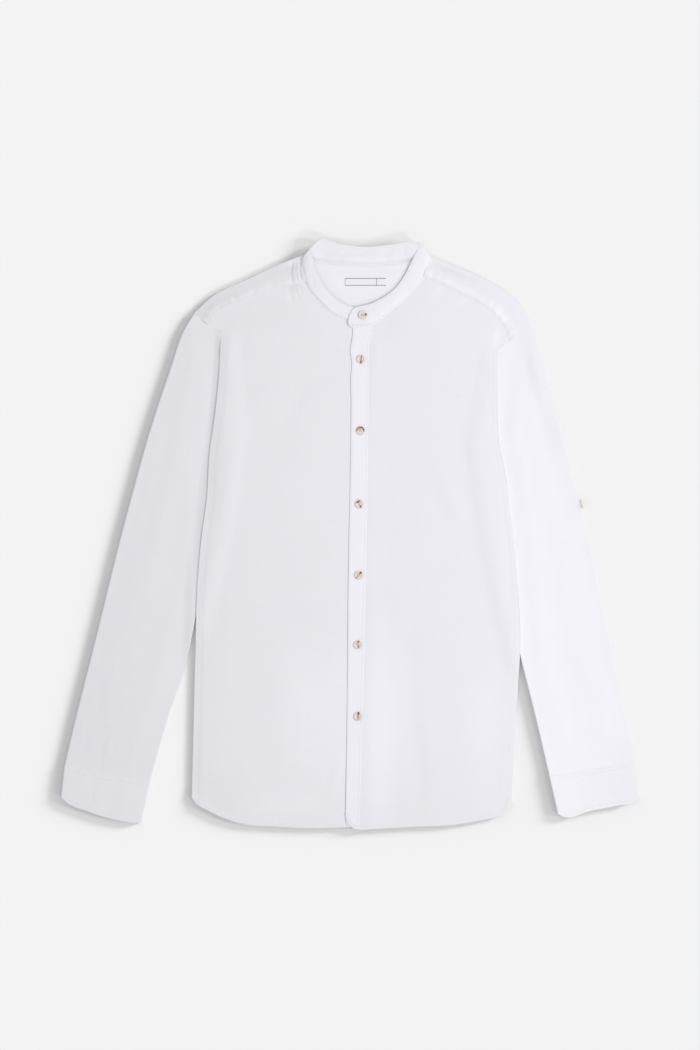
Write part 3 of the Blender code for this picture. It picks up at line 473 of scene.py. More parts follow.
STRIP_START = {side: strip_edge(side)[0] for side in SIDES}
STRIP_EDGE = {side: strip_edge(side)[1] for side in SIDES}
EMERGES = {side: emerges(side) for side in SIDES}


def lift(x, y):
    """How far the body's underside is raised at (x, y) by the sleeves below it."""
    height = np.zeros(np.shape(x))
    for side in SIDES:
        top = SIDE_EDGE[side][-1][1] + LIFT_ABOVE
        down = smooth((top - y) / LIFT_GROWS)
        up = smooth((y - (EMERGES[side] - LIFT_BELOW - LIFT_FADES)) / LIFT_FADES)
        inward = OUTWARD[side] * (STRIP_EDGE[side].x_at(y) - x)
        beside = 1.0 - smooth((inward - STRIP_MARGIN) / FADE)
        height = np.maximum(height, UNDERLAY * down * up * beside)
    return height


def fold_height(x, y, folds):
    """Sum of the soft folds at (x, y), each a rounded ridge or trough that fades at its ends."""
    total = np.zeros(np.shape(x))
    for x0, y0, x1, y1, half_width, height in folds:
        length = math.hypot(x1 - x0, y1 - y0)
        run = (x1 - x0) / length, (y1 - y0) / length
        along = ((x - x0) * run[0] + (y - y0) * run[1]) / length
        aside = (x - x0) * run[1] - (y - y0) * run[0]
        total += height * off_ends(along, 0.25) * bell(aside, half_width)
    return total


def creases(x, y, table):
    """Sum of the listed creases: bent, uneven along their length, and soft at both ends."""
    total = np.zeros(np.shape(x))
    for number, (*points, half_width, height) in enumerate(table):
        away, share = Line(np.reshape(points, (-1, 2))).near(x, y)
        uneven = 1.0 + 0.3 * np.sin(7.0 * share + 1.7 * number)
        total += height * off_ends(share, 0.3) * uneven * bell(away, half_width * uneven)
    return total


def waviness(x, y, seed, size, height):
    """Slow unevenness of laid cloth: a few seeded waves in different directions."""
    rng = np.random.default_rng(seed)
    total = np.zeros(np.shape(x))
    for _ in range(7):
        angle, phase = rng.uniform(0, 2 * math.pi, 2)
        length = size * rng.uniform(0.6, 1.7)
        along = x * math.cos(angle) + y * math.sin(angle)
        bend = 0.8 * np.sin((x * math.sin(angle) - y * math.cos(angle)) / (1.4 * size) + phase)
        total += np.sin(2 * math.pi * along / length + phase + bend)
    return height * total / 7


def inside(x, y, width):
    """0 at the outline of the body's front, 1 further in than width."""
    share = smooth((np.interp(x, *TOP_LINE) - y) / width) \
        * smooth((y - np.interp(x, *HEM_LINE)) / width)
    for side in SIDES:
        inward = OUTWARD[side] * (SIDE[side].x_at(y) - x)
        share = share * smooth((inward - FOLD) / width)
    return share


def front_top(x, y):
    """Height of the fronts' upper face, without the lap."""
    most = INNER_GAP - 2 * FOLD + 2 * CLOTH
    puff = np.clip(CROWN + fold_height(x, y, FRONT_FOLDS), 0.1, most)
    return lift(x, y) + 2 * FOLD + inside(x, y, CROWN_EDGE) * puff


def seen_lap(x, y):
    """How much higher the left front shows at (x, y) on account of the right one."""
    edge = FRONT.x_at(y) + UNDERLAP
    return SEEN_LAP * (LAP * (1.0 - smooth((x - edge - 2.0) / FADE)))


def puckers(along, away, pitch, height, reach):
    """Small waves beside a row of stitches."""
    uneven = 1.0 + 0.5 * np.sin(along / 23.0)
    return height * uneven * np.cos(2 * math.pi * along / pitch + 1.5 * np.sin(along / 31.0)) \
        * np.exp(-away / reach)


def front_detail(side, x, y):
    """Relief of a front beyond its solid's form: creases, waves, the hem's turned edge."""
    height = creases(x, y, FRONT_CREASES[side]) + waviness(x, y, 3, 70.0, 0.16)
    if side == "right":
        height *= smooth((FRONT.x_at(y) - 1.0 - x) / 6.0)
    height *= inside(x, y, 14.0)
    if side == "right":
        height -= 1.0 * bell(FRONT.x_at(y) - x + 0.1, 0.8)
    away, share = HEM_CURVE[side].near(x, y)
    height += hem_relief(away, share * HEM_CURVE[side].length)
    away, share = SEAM[side].near(x, y)
    height += puckers(share * SEAM[side].length + 5.0, away, 12.0, 0.3, 5.0) \
        * smooth((away - 0.5) / 2.0)
    beside = OUTWARD[side] * (SIDE[side].x_at(y) - x)
    low = smooth((SIDE_EDGE[side][-1][1] - y) / 10.0)
    roll, reach = SIDE_ROLL[side]
    height -= roll * low * (1.0 - smooth((beside - 1.0) / reach))
    return height + low * (0.12 * bell(beside - 4.6, 1.3) - 0.12 * bell(beside - 7.2, 1.2))


def hem_relief(away, along):
    """Relief near a turned hem: the doubled edge, its inner step and the pull of the stitches."""
    doubled = 0.32 * (1.0 - smooth((away - HEM_WIDTH + 0.2) / 1.1)) * smooth(away / 0.8)
    return doubled - 0.16 * bell(away - HEM_SEAM, 0.7) \
        + puckers(along, np.abs(away - HEM_WIDTH), 8.5, 0.12, 4.0)


def spaced(edges, fine, coarse, reach):
    """Distances along a length, closer together near the given ones."""
    here, stop = edges[0], edges[-1]
    values = [here]
    while here < stop:
        gap = min(abs(here - edge) for edge in edges)
        ahead = min(abs(here + fine - edge) for edge in edges)
        here += fine + (coarse - fine) * float(smooth(min(gap, ahead) / reach))
        values.append(min(here, stop))
    if len(values) > 2 and values[-1] - values[-2] < 0.4 * fine:
        values.pop(-2)
    return np.array(values)


def shares(edges, fine, coarse, reach):
    """The same distances as shares of the length."""
    return spaced(edges, fine, coarse, reach) / edges[-1]


TUBE_SHARES = shares([0.0, TUBE_WIDTH], 1.2, 2.2, 12.0)


def neck_edge(side):
    """The panels' neck edge: the band's lower edge, moved off the band."""
    first, last = BAND_RIGHT_NECK if side == "right" else BAND_LEFT_NECK
    points = BAND_LOW.row(np.linspace(last, first, 24))[:, :2]
    return [tuple(p) for p in moved_off(points, -NECK_SHOWS if side == "right" else NECK_SHOWS)]


def coons(v, share, first, last, low, high, low_ends, high_ends):
    """Points between four lines: both sides, low and high line, and the ends of those two."""
    along = (1 - v) * low + v * high
    across = (1 - share) * first + share * last
    ends = ((1 - share) * ((1 - v) * low_ends[0] + v * high_ends[0])
            + share * ((1 - v) * low_ends[1] + v * high_ends[1]))
    return along + across - ends


def panel_side(side, v):
    """The panel's side line at v; its last part runs along the armhole."""
    corner = PANEL_SIDE[side].corner_shares[0]
    return PANEL_SIDE[side].at(np.where(
        v <= ARMHOLE_START, corner * v / ARMHOLE_START,
        corner + (1 - corner) * (v - ARMHOLE_START) / (1 - ARMHOLE_START)))


def front_plan(side, v, share, insets=None):
    """Plan points of a front at v and share; insets give distances from its front edge instead."""
    neck = neck_edge(side)
    top = Line(YOKE_SEAM[side][:-1] + [neck[0]], neck)
    hem = HEM_CURVE[side]
    reach = UNDERLAP if side == "right" else 0.0
    middle = [(x + reach, y) for x, y in FRONT_EDGE[1:-1]]
    edge = Line([tuple(hem.at(1.0))] + middle + [tuple(top.at(1.0))])
    v = v[:, None]
    first, last = panel_side(side, v), edge.at(v)
    corner = top.corner_shares[0]
    if insets is None:
        share = share[None, :] + 0 * v
        across, along = [0, SEAM_SHARE, 1], [0, corner, 1]
        if side == "left":
            across.insert(2, PLACKET_SHARE)
            along.insert(2, corner + PLACKET_TOP * (1 - corner))
        tops = np.interp(share, across, along)
    else:
        share = 1.0 - insets[None, :] / np.linalg.norm(last - first, axis=-1)
        tops = 1.0 - insets[None, :] / top.length + 0 * v
    return coons(v[..., None], share[..., None], first, last, hem.at(share), top.at(tops),
                 hem.at(ENDS), top.at(ENDS))


def folded_side(plan, height, middle):
    """A panel's edge columns: from the middle of the side's fold round to the panel's face."""
    inward = unit(plan[:, 1] - plan[:, 0])
    columns = []
    for angle in np.linspace(0.0, math.pi / 2, SIDE_STEPS, endpoint=False):
        place = plan[:, 0] + inward * PRESSED * (1 - math.cos(angle))
        columns.append(np.column_stack([place, middle + (height - middle) * math.sin(angle)]))
    return np.stack(columns, axis=1)


def grid_quads(index):
    """Faces between neighbouring points of a grid of indices."""
    return np.stack([index[:-1, :-1], index[:-1, 1:], index[1:, 1:], index[1:, :-1]],
                    axis=-1).reshape(-1, 4)


def closed_shell(name, outer, wall, finish, ring=False, outward=1.0, proud=False):
    """A closed thin shell from a grid of its outer face; proud ones stand off by their wall."""
    rows, columns = outer.shape[:2]
    wall = np.broadcast_to(np.asarray(wall, dtype=float), (rows, columns))
    down = np.gradient(outer, axis=0)
    if ring:
        wide = np.concatenate([outer[:, -1:], outer, outer[:, :1]], axis=1)
        across = np.gradient(wide, axis=1)[:, 1:-1]
    else:
        across = np.gradient(outer, axis=1)
    normal = unit(np.cross(across, down) * outward)
    if proud:
        stands = normal * wall[..., None]
        stands[..., 2] = np.maximum(stands[..., 2], 0.0)
        outer = outer + stands
    inner = outer - normal * wall[..., None]
    points = [outer.reshape(-1, 3), inner.reshape(-1, 3)]
    index = np.arange(rows * columns).reshape(rows, columns)
    quads = grid_quads(np.concatenate([index, index[:, :1]], axis=1) if ring else index)
    if outward < 0:
        quads = quads[:, ::-1]
    faces = [quads, quads[:, ::-1] + rows * columns]
    if ring:
        rims = [(index[0], down[0], -1.0), (index[-1], down[-1], 1.0)]
    else:
        loop = np.concatenate([index[0], index[1:, -1], index[-1, -2::-1], index[-2:0:-1, 0]])
        away = np.concatenate([-down[0], across[1:, -1], down[-1, -2::-1],
                               -across[-2:0:-1, 0]])
        rims = [(loop, away, 1.0)]
    base = 2 * rows * columns
    for loop, away, sign in rims:
        flat_outer, flat_inner = points[0][loop], points[1][loop]
        bulge = 0.3 * np.linalg.norm(flat_outer - flat_inner, axis=1)[:, None]
        points.append((flat_outer + flat_inner) / 2 + unit(sign * away) * bulge)
        ids = base + np.arange(len(loop))
        loop, ids = np.append(loop, loop[0]), np.append(ids, ids[0])
        for upper, lower in ((loop, ids), (ids, loop + rows * columns)):
            rim = np.stack([upper[:-1], lower[:-1], lower[1:], upper[1:]], axis=-1)
            faces.append(rim if outward * sign > 0 else rim[:, ::-1])
        base += len(away)
    return add_mesh(name, np.concatenate(points), np.concatenate(faces), finish)


def add_mesh(name, points, faces, finish, sharp=50.0):
    """An object from points in millimetres and faces, in the shirt's collection."""
    mesh = bpy.data.meshes.new(name)
    mesh.from_pydata((np.asarray(points) * MM).tolist(), [], [list(map(int, f)) for f in faces])
    mesh.validate()
    mesh.materials.append(finish)
    return add_piece(name, mesh, sharp)


def add_piece(name, mesh, sharp):
    """An object of a mesh, shaded smooth up to an angle, in the shirt's collection."""
    mesh.shade_smooth()
    mesh.set_sharp_from_angle(angle=math.radians(sharp))
    made = bpy.data.objects.new(name, mesh)
    SHIRT.objects.link(made)
    return made


def turned(rows):
    """1 where a panel's side is folded, 0 along the armhole."""
    return 1.0 - smooth((rows - ARMHOLE_START + 0.006) / 0.006)


def hem_wall(away):
    """Thickness of a panel at a distance from its hem's edge."""
    return WALL + (HEM_WALL - WALL) * (1.0 - smooth((away - HEM_WIDTH + 0.5) / 1.0))


def build_front(side, finish):
    """One front, from its hem to the yoke and neck, with its turned hem and folded side."""
    rows = shares([0.0, HEM_SEAM, HEM_WIDTH, PANEL_LENGTH - 3.0, PANEL_LENGTH], 0.8, 4.6, 14.0)
    close = [112.0, 119.0, 126.0, 133.0] if side == "right" else []
    share = shares([0.0, 5.0, 8.0, *close, FRONT_WIDTH - PLACKET, FRONT_WIDTH], 1.0, 4.0, 16.0)
    plan = front_plan(side, rows, share)
    x, y = plan[..., 0], plan[..., 1]
    z = front_top(x, y) + front_detail(side, x, y)
    if side == "left":
        z += seen_lap(x, y)
    lifted = lift(plan[:, 0, 0], plan[:, 0, 1])
    fold = folded_side(plan, z[:, 0], z[:, 0] + turned(rows) * (lifted + FOLD - z[:, 0]))
    outer = np.concatenate([fold, np.dstack([x, y, z])[:, 1:]], axis=1)
    away, _ = HEM_CURVE[side].near(outer[..., 0], outer[..., 1])
    return closed_shell(f"cloth_front_{side}", outer, hem_wall(away), finish,
                        outward=-OUTWARD[side], proud=True)


def build_placket(finish):
    """The buttonhole placket: a doubled strip, stitched near both edges, pulled at its buttons."""
    rows = shares([0.0, 5.0, PANEL_LENGTH - 2.0, PANEL_LENGTH], 1.6, 3.2, 10.0)
    insets = spaced([0.0, 1.8, PLACKET - 2.2, PLACKET], 0.45, 1.6, 5.0)
    plan = front_plan("left", rows, None, insets)
    x, y = plan[..., 0], plan[..., 1]
    z = front_top(x, y) + seen_lap(x, y) + PLACKET_RISE
    inset = insets[None, :] + 0 * x
    run = (rows * PANEL_LENGTH)[:, None] + 0 * x
    for line in PLACKET_SEAMS:
        z += -0.2 * bell(inset - line, 0.8)
        z += puckers(run + 3.0 * line, np.abs(inset - line), 6.5, 0.13, 2.6)
    z += 0.25 * smooth(inset / 1.4) * smooth((PLACKET - inset) / 1.4) - 0.25
    z += creases(x, y, PLACKET_CREASES) + waviness(x, y, 9, 46.0, 0.18)
    for bx, by in PLACKET_BUTTONS:
        z += -0.35 * bell(np.hypot(x - bx, (y - by) / 1.5) - 2.0, 5.5)
    return closed_shell("cloth_placket", np.dstack([x, y, z]), PLACKET_RISE - 0.1, finish)


def build_back(finish):
    """The back: its underside lies on the floor, and its sides turn up to meet the fronts."""
    rows = shares([0.0, HEM_WIDTH, PANEL_LENGTH - 3.0, PANEL_LENGTH], 1.0, 6.5, 16.0)
    share = shares([0.0, 6.0, BACK_WIDTH - 6.0, BACK_WIDTH], 1.4, 6.5, 24.0)
    w = rows[:, None]
    plan = coons(w[..., None], share[None, :, None], panel_side("right", w),
                 panel_side("left", w), BACK_HEM.at(share)[None], BACK_SEAM.at(share)[None],
                 BACK_HEM.at(ENDS), BACK_SEAM.at(ENDS))
    x, y = plan[..., 0], plan[..., 1]
    away, _ = BACK_HEM.near(x, y)
    near_edge = np.minimum(np.abs(x - SIDE["right"].x_at(y)), np.abs(SIDE["left"].x_at(y) - x))
    calm = smooth(near_edge / 30.0) * smooth(away / 20.0) * smooth((250.0 - y) / 30.0)
    resting = 1.0 - smooth(lift(x, y) / 0.2)
    wave = np.abs(creases(x, y, BACK_CREASES) + waviness(x, y, 5, 80.0, 0.3)) * calm * resting
    z = lift(x, y) + wave + 0.2 * bell(away - HEM_SEAM, 0.8) * resting
    raised = lift(plan[:, 0, 0], plan[:, 0, 1]), lift(plan[:, -1, 0], plan[:, -1, 1])
    right, left = (folded_side(grid, height, height + turned(rows) * FOLD)
                   for grid, height in zip((plan, plan[:, ::-1]), raised))
    outer = np.concatenate([right, np.dstack([x, y, z])[:, 1:-1], left[:, ::-1]], axis=1)
    wall = hem_wall(away)
    wall = np.concatenate([wall[:, :1]] * SIDE_STEPS + [wall[:, 1:-1]]
                          + [wall[:, -1:]] * SIDE_STEPS, axis=1)
    return closed_shell("cloth_back", outer, wall, finish, outward=-1.0, proud=True)


def yoke_strip(front_point, edge, back_point, bulge):
    """One column of the yoke: back seam, lower layer, shoulder fold, upper layer, front seam."""
    down, forward = unit(back_point - edge), unit(front_point - edge)
    start = edge + down * SHOULDER_EDGE
    points = [(*(back_point + (start - back_point) * share), 0.0)
              for share in np.linspace(0.0, 1.0, YOKE_STEPS, endpoint=False)]
    for angle in np.linspace(-math.pi / 2, math.pi / 2, FOLD_STEPS):
        share = angle / math.pi + 0.5
        inward = down * (1 - share) + forward * share
        reach = SHOULDER_EDGE * (1 - math.cos(angle)) - YOKE_WALL * math.cos(angle)
        points.append((*(edge + inward * reach), FOLD + FOLD * math.sin(angle)))
    first = edge + forward * SHOULDER_EDGE
    reach = np.linalg.norm(front_point - first)
    for share in shares([0.0, reach - 6.0, reach - 2.0, reach], 0.8, 2.6, 6.0)[1:]:
        points.append((*(first + (front_point - first) * share),
                       2 * FOLD + 0.6 * math.sin(math.pi * share) * bulge))
    return points


def resampled(points):
    """The same run of points with even steps on its upper part, a little closer at its end."""
    points = np.array(points)
    fold_end = YOKE_STEPS + FOLD_STEPS
    head, tail = points[:fold_end], points[fold_end - 1:]
    travel = np.concatenate([[0.0], np.cumsum(np.linalg.norm(np.diff(tail, axis=0), axis=1))])
    where = (1.0 - (1.0 - np.linspace(0.0, 1.0, YOKE_TOP_STEPS)) ** 1.25) * travel[-1]
    run = np.stack([np.interp(where, travel, values) for values in tail.T], axis=1)
    return np.concatenate([head, run[1:]])


def build_yoke(finish):
    """The yoke: its back part lies below, and it folds over both shoulders to the fronts."""
    corners = {side: np.array(YOKE_SEAM[side][0], dtype=float) for side in SIDES}
    span = corners["left"] - corners["right"]
    upward = np.array([-span[1], span[0]]) * 0.05 / np.linalg.norm(span)

    def back_point(x):
        return corners["right"] + span * (x - corners["right"][0]) / span[0] + upward

    share = shares([0.0, 110.0, 117.0, 124.0, 131.0, 138.0, 145.0], 0.7, 3.4, 12.0)
    grids = {}
    for side in SIDES:
        front = Line(YOKE_SEAM[side][:-1] + [neck_edge(side)[0]])
        front = moved_off(front.at(share), OUTWARD[side] * YOKE_OVER)
        shoulder = Line(SHOULDER[side][:-1] + [SHOULDER_END[side]]).at(share)
        start = corners[side][0]
        strips = np.array([
            resampled(yoke_strip(f, s, back_point(start + r * (shoulder[-1][0] - start)),
                                 math.sin(math.pi * r)))
            for f, s, r in zip(front, shoulder, share)])
        x, y, z = np.moveaxis(strips if side == "right" else strips[::-1], -1, 0)
        on_top = smooth((z - 2.6) / 0.8)
        away, run = SEAM[side].near(x, y)
        z = z + on_top * YOKE_WALL
        z += on_top * (creases(x, y, YOKE_CREASES) + waviness(x, y, 21, 40.0, 0.25)) \
            * smooth(away / 5.0)
        z += on_top * (0.05 + 0.5 * smooth(away / 4.0) - 0.15 * bell(away - YOKE_SEAMS[0], 0.7)
                       - 0.2 * bell(away - YOKE_SEAMS[1], 0.8)) * (1 - smooth((away - 7) / 5))
        z += on_top * puckers(run * SEAM[side].length, np.abs(away - 4.0), 12.0, 0.45, 5.0)
        edge_away, _ = Line(SHOULDER[side]).near(x, y)
        roll, reach = SHOULDER_ROLL[side]
        grids[side] = np.dstack([x, y, z - on_top * roll * (1 - smooth(edge_away / reach))])
    neck = []
    for row in np.linspace(*YOKE_NECK):
        edge = BAND_LOW.row(row)[:2] + np.array([0.0, 2.4])
        low = back_point(edge[0])
        neck.append([(*(low + (edge - low) * s), 0.0) for s in np.linspace(0, 1, YOKE_STEPS + 1)])
    return yoke_mesh((grids["right"], np.array(neck), grids["left"]), finish)


def yoke_mesh(grids, finish):
    """The yoke's grids, joined where they meet, as one closed shell."""
    points, quads, base, previous = [], [], 0, None
    for grid in grids:
        index = base + np.arange(grid.shape[0] * grid.shape[1]).reshape(grid.shape[:2])
        points.append(grid.reshape(-1, 3))
        quads.append(grid_quads(index.T))
        if base:
            quads.append(grid_quads(np.array([previous, index[0, :YOKE_STEPS + 1]]).T))
        previous, base = index[-1, :YOKE_STEPS + 1], base + index.size
    made = add_mesh("cloth_yoke", np.concatenate(points), np.concatenate(quads), finish)
    wall = made.modifiers.new("wall", "SOLIDIFY")
    wall.thickness = YOKE_WALL * MM
    wall.offset = 1.0
    return made


def pressed(side, x, y):
    """1 where the body lies on the sleeve, 0 well outside it."""
    start_y = STRIP_START[side][1]
    end_y = SIDE_EDGE[side][-1][1]
    below = smooth((end_y - y) / (end_y - start_y))
    outside = OUTWARD[side] * (x - SIDE[side].x_at(y))
    low_end = smooth((y - (EMERGES[side] - 40.0)) / 40.0)
    return below * low_end * (1.0 - smooth((outside - 3.0) / 26.0))


def armhole_line(side):
    """Armhole end of the sleeve: shoulder point, yoke seam, body's edge, strip, hidden point."""
    beside = OUTWARD[side] * ARM_ROOM
    seam = [tuple(p) for p in moved_off(ARMHOLE[side][::-1], beside)]
    strip_start = (STRIP_START[side][0] + beside, STRIP_START[side][1])
    bend = (ARMHOLE[side][0][0] + beside, ARMHOLE[side][0][1] - ARM_ROOM)
    return Line(seam[:2], [seam[1], bend], [bend, strip_start],
                [strip_start, SLEEVE_INNER[side][0]])


def tube(plan, top):
    """Closed rings of a flat tube from plan points across it and the height of its upper face."""

    def arc(edge, toward, half):
        inward = unit(toward - edge)
        points = []
        for angle in np.linspace(-math.pi / 2, math.pi / 2, ARC_STEPS):
            p = edge + inward * (np.minimum(half, PRESSED) * (1 - math.cos(angle)))[:, None]
            points.append(np.column_stack([p, half + half * math.sin(angle)]))
        return np.stack(points, axis=1)

    first = arc(plan[:, 0], plan[:, 3], top[:, 0] / 2)
    last = arc(plan[:, -1], plan[:, -4], top[:, -1] / 2)[:, ::-1]
    keep = [i for i, share in enumerate(TUBE_SHARES)
            if 2.2 < share * TUBE_WIDTH < TUBE_WIDTH - 2.2]
    upper = np.dstack([plan, top])[:, keep]
    lower = np.dstack([plan, np.zeros(top.shape)])[:, keep[::-1][::BOTTOM_STEP]]
    return np.concatenate([first, upper, last, lower], axis=1)


def build_sleeve(side, finish):
    """A sleeve pressed flat, from the armhole to the cuff's seam."""
    armhole, seam = armhole_line(side), Line(CUFF_SEAM[side])
    share, length = TUBE_SHARES, SLEEVE_LENGTH
    rows = shares([0.0, 2.0, 7.0, length - 3.0, length], 0.8, 3.6, 14.0)
    corners = [0.0] + armhole.corner_shares + [1.0]
    start = armhole.at(np.interp(share, (0.0, *SLEEVE_CORNERS, 1.0), corners))
    w = rows[:, None]
    plan = coons(w[..., None], share[None, :, None], OUTER[side].at(w), INNER[side].at(w),
                 start[None], seam.at(share)[None], (OUTER[side].at(0.0), INNER[side].at(0.0)),
                 seam.at(ENDS))
    x, y = plan[..., 0], plan[..., 1]
    over = SLEEVE_CROWN * off_ends(share, 0.3)[None, :] * off_ends(w, 0.12)
    full = 2 * FOLD + np.maximum(over * (1 + fold_height(x, y, SLEEVE_FOLDS[side])), 0.0)
    hold = pressed(side, x, y)
    free = (1 - hold) * off_ends(share, 0.12)[None, :]
    travel = w * length
    detail = creases(x, y, SLEEVE_CREASES[side]) * smooth(travel / 12.0)
    detail = detail + waviness(x, y, 11 if side == "right" else 12, 55.0, 0.3) \
        * smooth(travel / 14.0) * smooth((length - travel) / 8.0)
    away, run = Line(ARMHOLE[side]).near(x, y)
    detail += puckers(run * ARMHOLE_WIDTH, away, 7.0, 0.12, 6.0) * (1 - smooth(travel / 20.0))
    away, run = seam.near(x, y)
    detail += puckers(run * seam.length, away, 13.0, 0.1, 6.0)
    top = full * (1 - hold) + STRIP * hold + free * detail
    top = top + 0.55 * np.exp(-away / 5.0) * off_ends(share, 0.05)
    return closed_shell(f"cloth_sleeve_{side}", tube(plan, np.maximum(top, 2.2)), WALL, finish,
                        ring=True, outward=OUTWARD[side], proud=True)


def build_cuff(side, finish):
    """A turned cuff, pressed flat, with stitched edges."""
    share = TUBE_SHARES
    w = shares([0.0, 2.0, 6.5, CUFF_LENGTH - 4.5, CUFF_LENGTH], 0.7, 2.2, 8.0)[:, None, None]
    seam_line, end = Line(CUFF_SEAM[side]), Line(CUFF_END[side])
    seam = moved_off(seam_line.at(share), OUTWARD[side] * 0.05)
    plan = (1 - w) * seam[None] + w * end.at(share)[None]
    x, y = plan[..., 0], plan[..., 1]
    detail = creases(x, y, CUFF_CREASES[side]) + waviness(x, y, 14, 30.0, 0.2)
    low_away, low_run = end.near(x, y)
    seam_away, seam_run = seam_line.near(x, y)
    for away in (low_away - CUFF_END_SEAM, *(seam_away - line for line in CUFF_SEAMS)):
        detail = detail - 0.2 * bell(away, 0.8)
    detail += puckers(low_run * CUFF_WIDTH, np.abs(low_away - CUFF_END_SEAM), 9.0, 0.1, 3.5)
    detail += puckers(seam_run * CUFF_WIDTH, np.abs(seam_away - 4.0), 11.0, 0.14, 4.0)
    detail += 0.35 * smooth(seam_away / 2.0) - 0.25 - 0.25 * smooth(1 - low_away / 1.2)
    top = 2 * CUFF_FOLD + 0.3 * off_ends(share, 0.3) + detail * off_ends(share, 0.08)
    return closed_shell(f"cloth_cuff_{side}", tube(plan, top), 0.9, finish, ring=True,
                        outward=OUTWARD[side], proud=True)


def band_point(row, share):
    """Points in the middle of the band's wall; share runs from its lower to its upper edge."""
    low, high = BAND_LOW.row(row), BAND_HIGH.row(row)
    share = np.asarray(share, dtype=float)[..., None]
    high = high - np.interp(row, *BAND_SAG)[..., None] * np.array([0.0, 0.0, 1.0])
    point = low + (high - low) * share
    point[..., 2] += 0.8 * np.sin(math.pi * share[..., 0])
    return point


def band_end(share):
    """Row number where the end on top stops: round above, and a little below."""
    width = np.linalg.norm(BAND_LOW.row(BAND_LAST)[:2] - BAND_LOW.row(BAND_LAST - 1)[:2])
    height = np.linalg.norm(BAND_HIGH.row(BAND_LAST) - BAND_LOW.row(BAND_LAST))
    above = np.maximum(share * height - (height - BAND_CORNER), 0.0)
    cut = BAND_CORNER - np.sqrt(np.maximum(BAND_CORNER ** 2 - above ** 2, 0.0))
    below = np.maximum(BAND_FOOT - share * height, 0.0) / BAND_FOOT
    return BAND_LAST - (cut + BAND_FOOT_CUT * below ** 2) / width


def build_band(finish):
    """The collar band: a doubled strip round the neck, its left end over its right end."""
    share = shares([0.0, 2.0, BAND_HEIGHT - 2.0, BAND_HEIGHT], 0.7, 1.6, 4.0)
    number = spaced([0.0, BAND_LAST * BAND_STEP], 1.0, 1.7, 20.0) / BAND_STEP
    fixed = BAND_LAST - 1.5
    rows = []
    for s in share:
        closer = (float(band_end(s)) - fixed) / 1.5
        row = np.where(number > fixed, fixed + (number - fixed) * closer, number)
        rows.append(band_point(row, np.full(len(number), s)))
    middle = np.array(rows)
    up, run = np.meshgrid(share * BAND_HEIGHT, number * BAND_STEP, indexing="ij")
    middle[..., 2] -= np.interp(number, *BAND_SETTLES) * (1.0 - smooth(up / 8.0))
    across, along = np.gradient(middle, axis=0), np.gradient(middle, axis=1)
    normal = unit(np.cross(across, along))
    ends = np.minimum(run, BAND_LAST * BAND_STEP - run)
    relief = -0.2 * bell(ends - 2.2, 0.8)
    for line in BAND_SEAMS:
        relief = relief - 0.22 * bell(up - line, 0.8)
        relief = relief + puckers(run + 11.0 * line, np.abs(up - line), 6.0, 0.16, 3.0)
    relief = relief + 0.14 * np.sin(run / 13.0 + 2.0 * np.sin(up / 9.0)) \
        * smooth(up / 6.0) * smooth((BAND_HEIGHT - up) / 6.0)
    hold = smooth(ends / 3.0)
    half = BAND_WALL / 2 * (0.25 + 0.75 * smooth(up / 5.0))
    middle = middle + normal * (creases(run, up, BAND_CREASES) * hold)[..., None]
    face = middle + normal * (half + relief * hold)[..., None]
    lining = middle - normal * (half + 0.7 * relief * hold)[..., None]
    return rounded_loop("cloth_collar_band", face, lining[::-1], middle, finish)


def rounded_loop(name, face, lining, middle, finish):
    """A closed strip of two faces, rounded all round."""
    bulge = BAND_WALL * 0.28
    low = middle[0] + bulge * unit(middle[0] - middle[1])
    high = middle[-1] + bulge * unit(middle[-1] - middle[-2])
    count = middle.shape[0]
    rings = np.concatenate([face, high[None], lining, low[None]], axis=0)
    index = np.arange(rings.shape[0] * rings.shape[1]).reshape(rings.shape[:2])
    points = [rings.reshape(-1, 3)]
    faces = [list(q) for q in grid_quads(np.concatenate([index, index[:1]], axis=0))]
    for column, beyond in ((0, middle[:, 0] - middle[:, 1]), (-1, middle[:, -1] - middle[:, -2])):
        ids = index.size + (0 if column == 0 else count) + np.arange(count)
        points.append(middle[:, column] + bulge * unit(beyond))
        front = index[:count, column]
        back = index[count + 1:2 * count + 1, column][::-1]
        for i in range(count - 1):
            faces.append([front[i], front[i + 1], ids[i + 1], ids[i]])
            faces.append([ids[i], ids[i + 1], back[i + 1], back[i]])
        over, under = index[count, column], index[-1, column]
        faces += [[front[-1], over, ids[-1]], [over, back[-1], ids[-1]],
                  [front[0], ids[0], under], [ids[0], back[0], under]]
    return add_mesh(name, np.concatenate(points), faces, finish)


def build_label(finish):
    """A plain woven label with turned edges."""
    width, depth = LABEL_SIZE
    gx, gy = np.meshgrid(np.linspace(-width / 2, width / 2, 60),
                         np.linspace(-depth / 2, depth / 2, 16))
    edge_y = depth / 2 - np.abs(gy)
    edge = np.minimum(width / 2 - np.abs(gx), edge_y)
    rise = 0.85 * smooth(edge / 0.5) + 0.12 * np.sin(gx / 5.0 + 0.7) * smooth(edge_y / 3.0)
    rise -= 0.2 * bell(edge - 1.1, 0.4)
    outer = np.dstack([gx + LABEL_CENTRE[0], gy + LABEL_CENTRE[1], CLOTH + GAP + 0.1 + rise])
    return closed_shell("cloth_neck_label", outer, 0.4, finish)


def circle(radius, z, count, centre=(0.0, 0.0)):
    """Points of a level circle."""
    turns = [2 * math.pi * i / count for i in range(count)]
    return [(centre[0] + radius * math.cos(t), centre[1] + radius * math.sin(t), z)
            for t in turns]


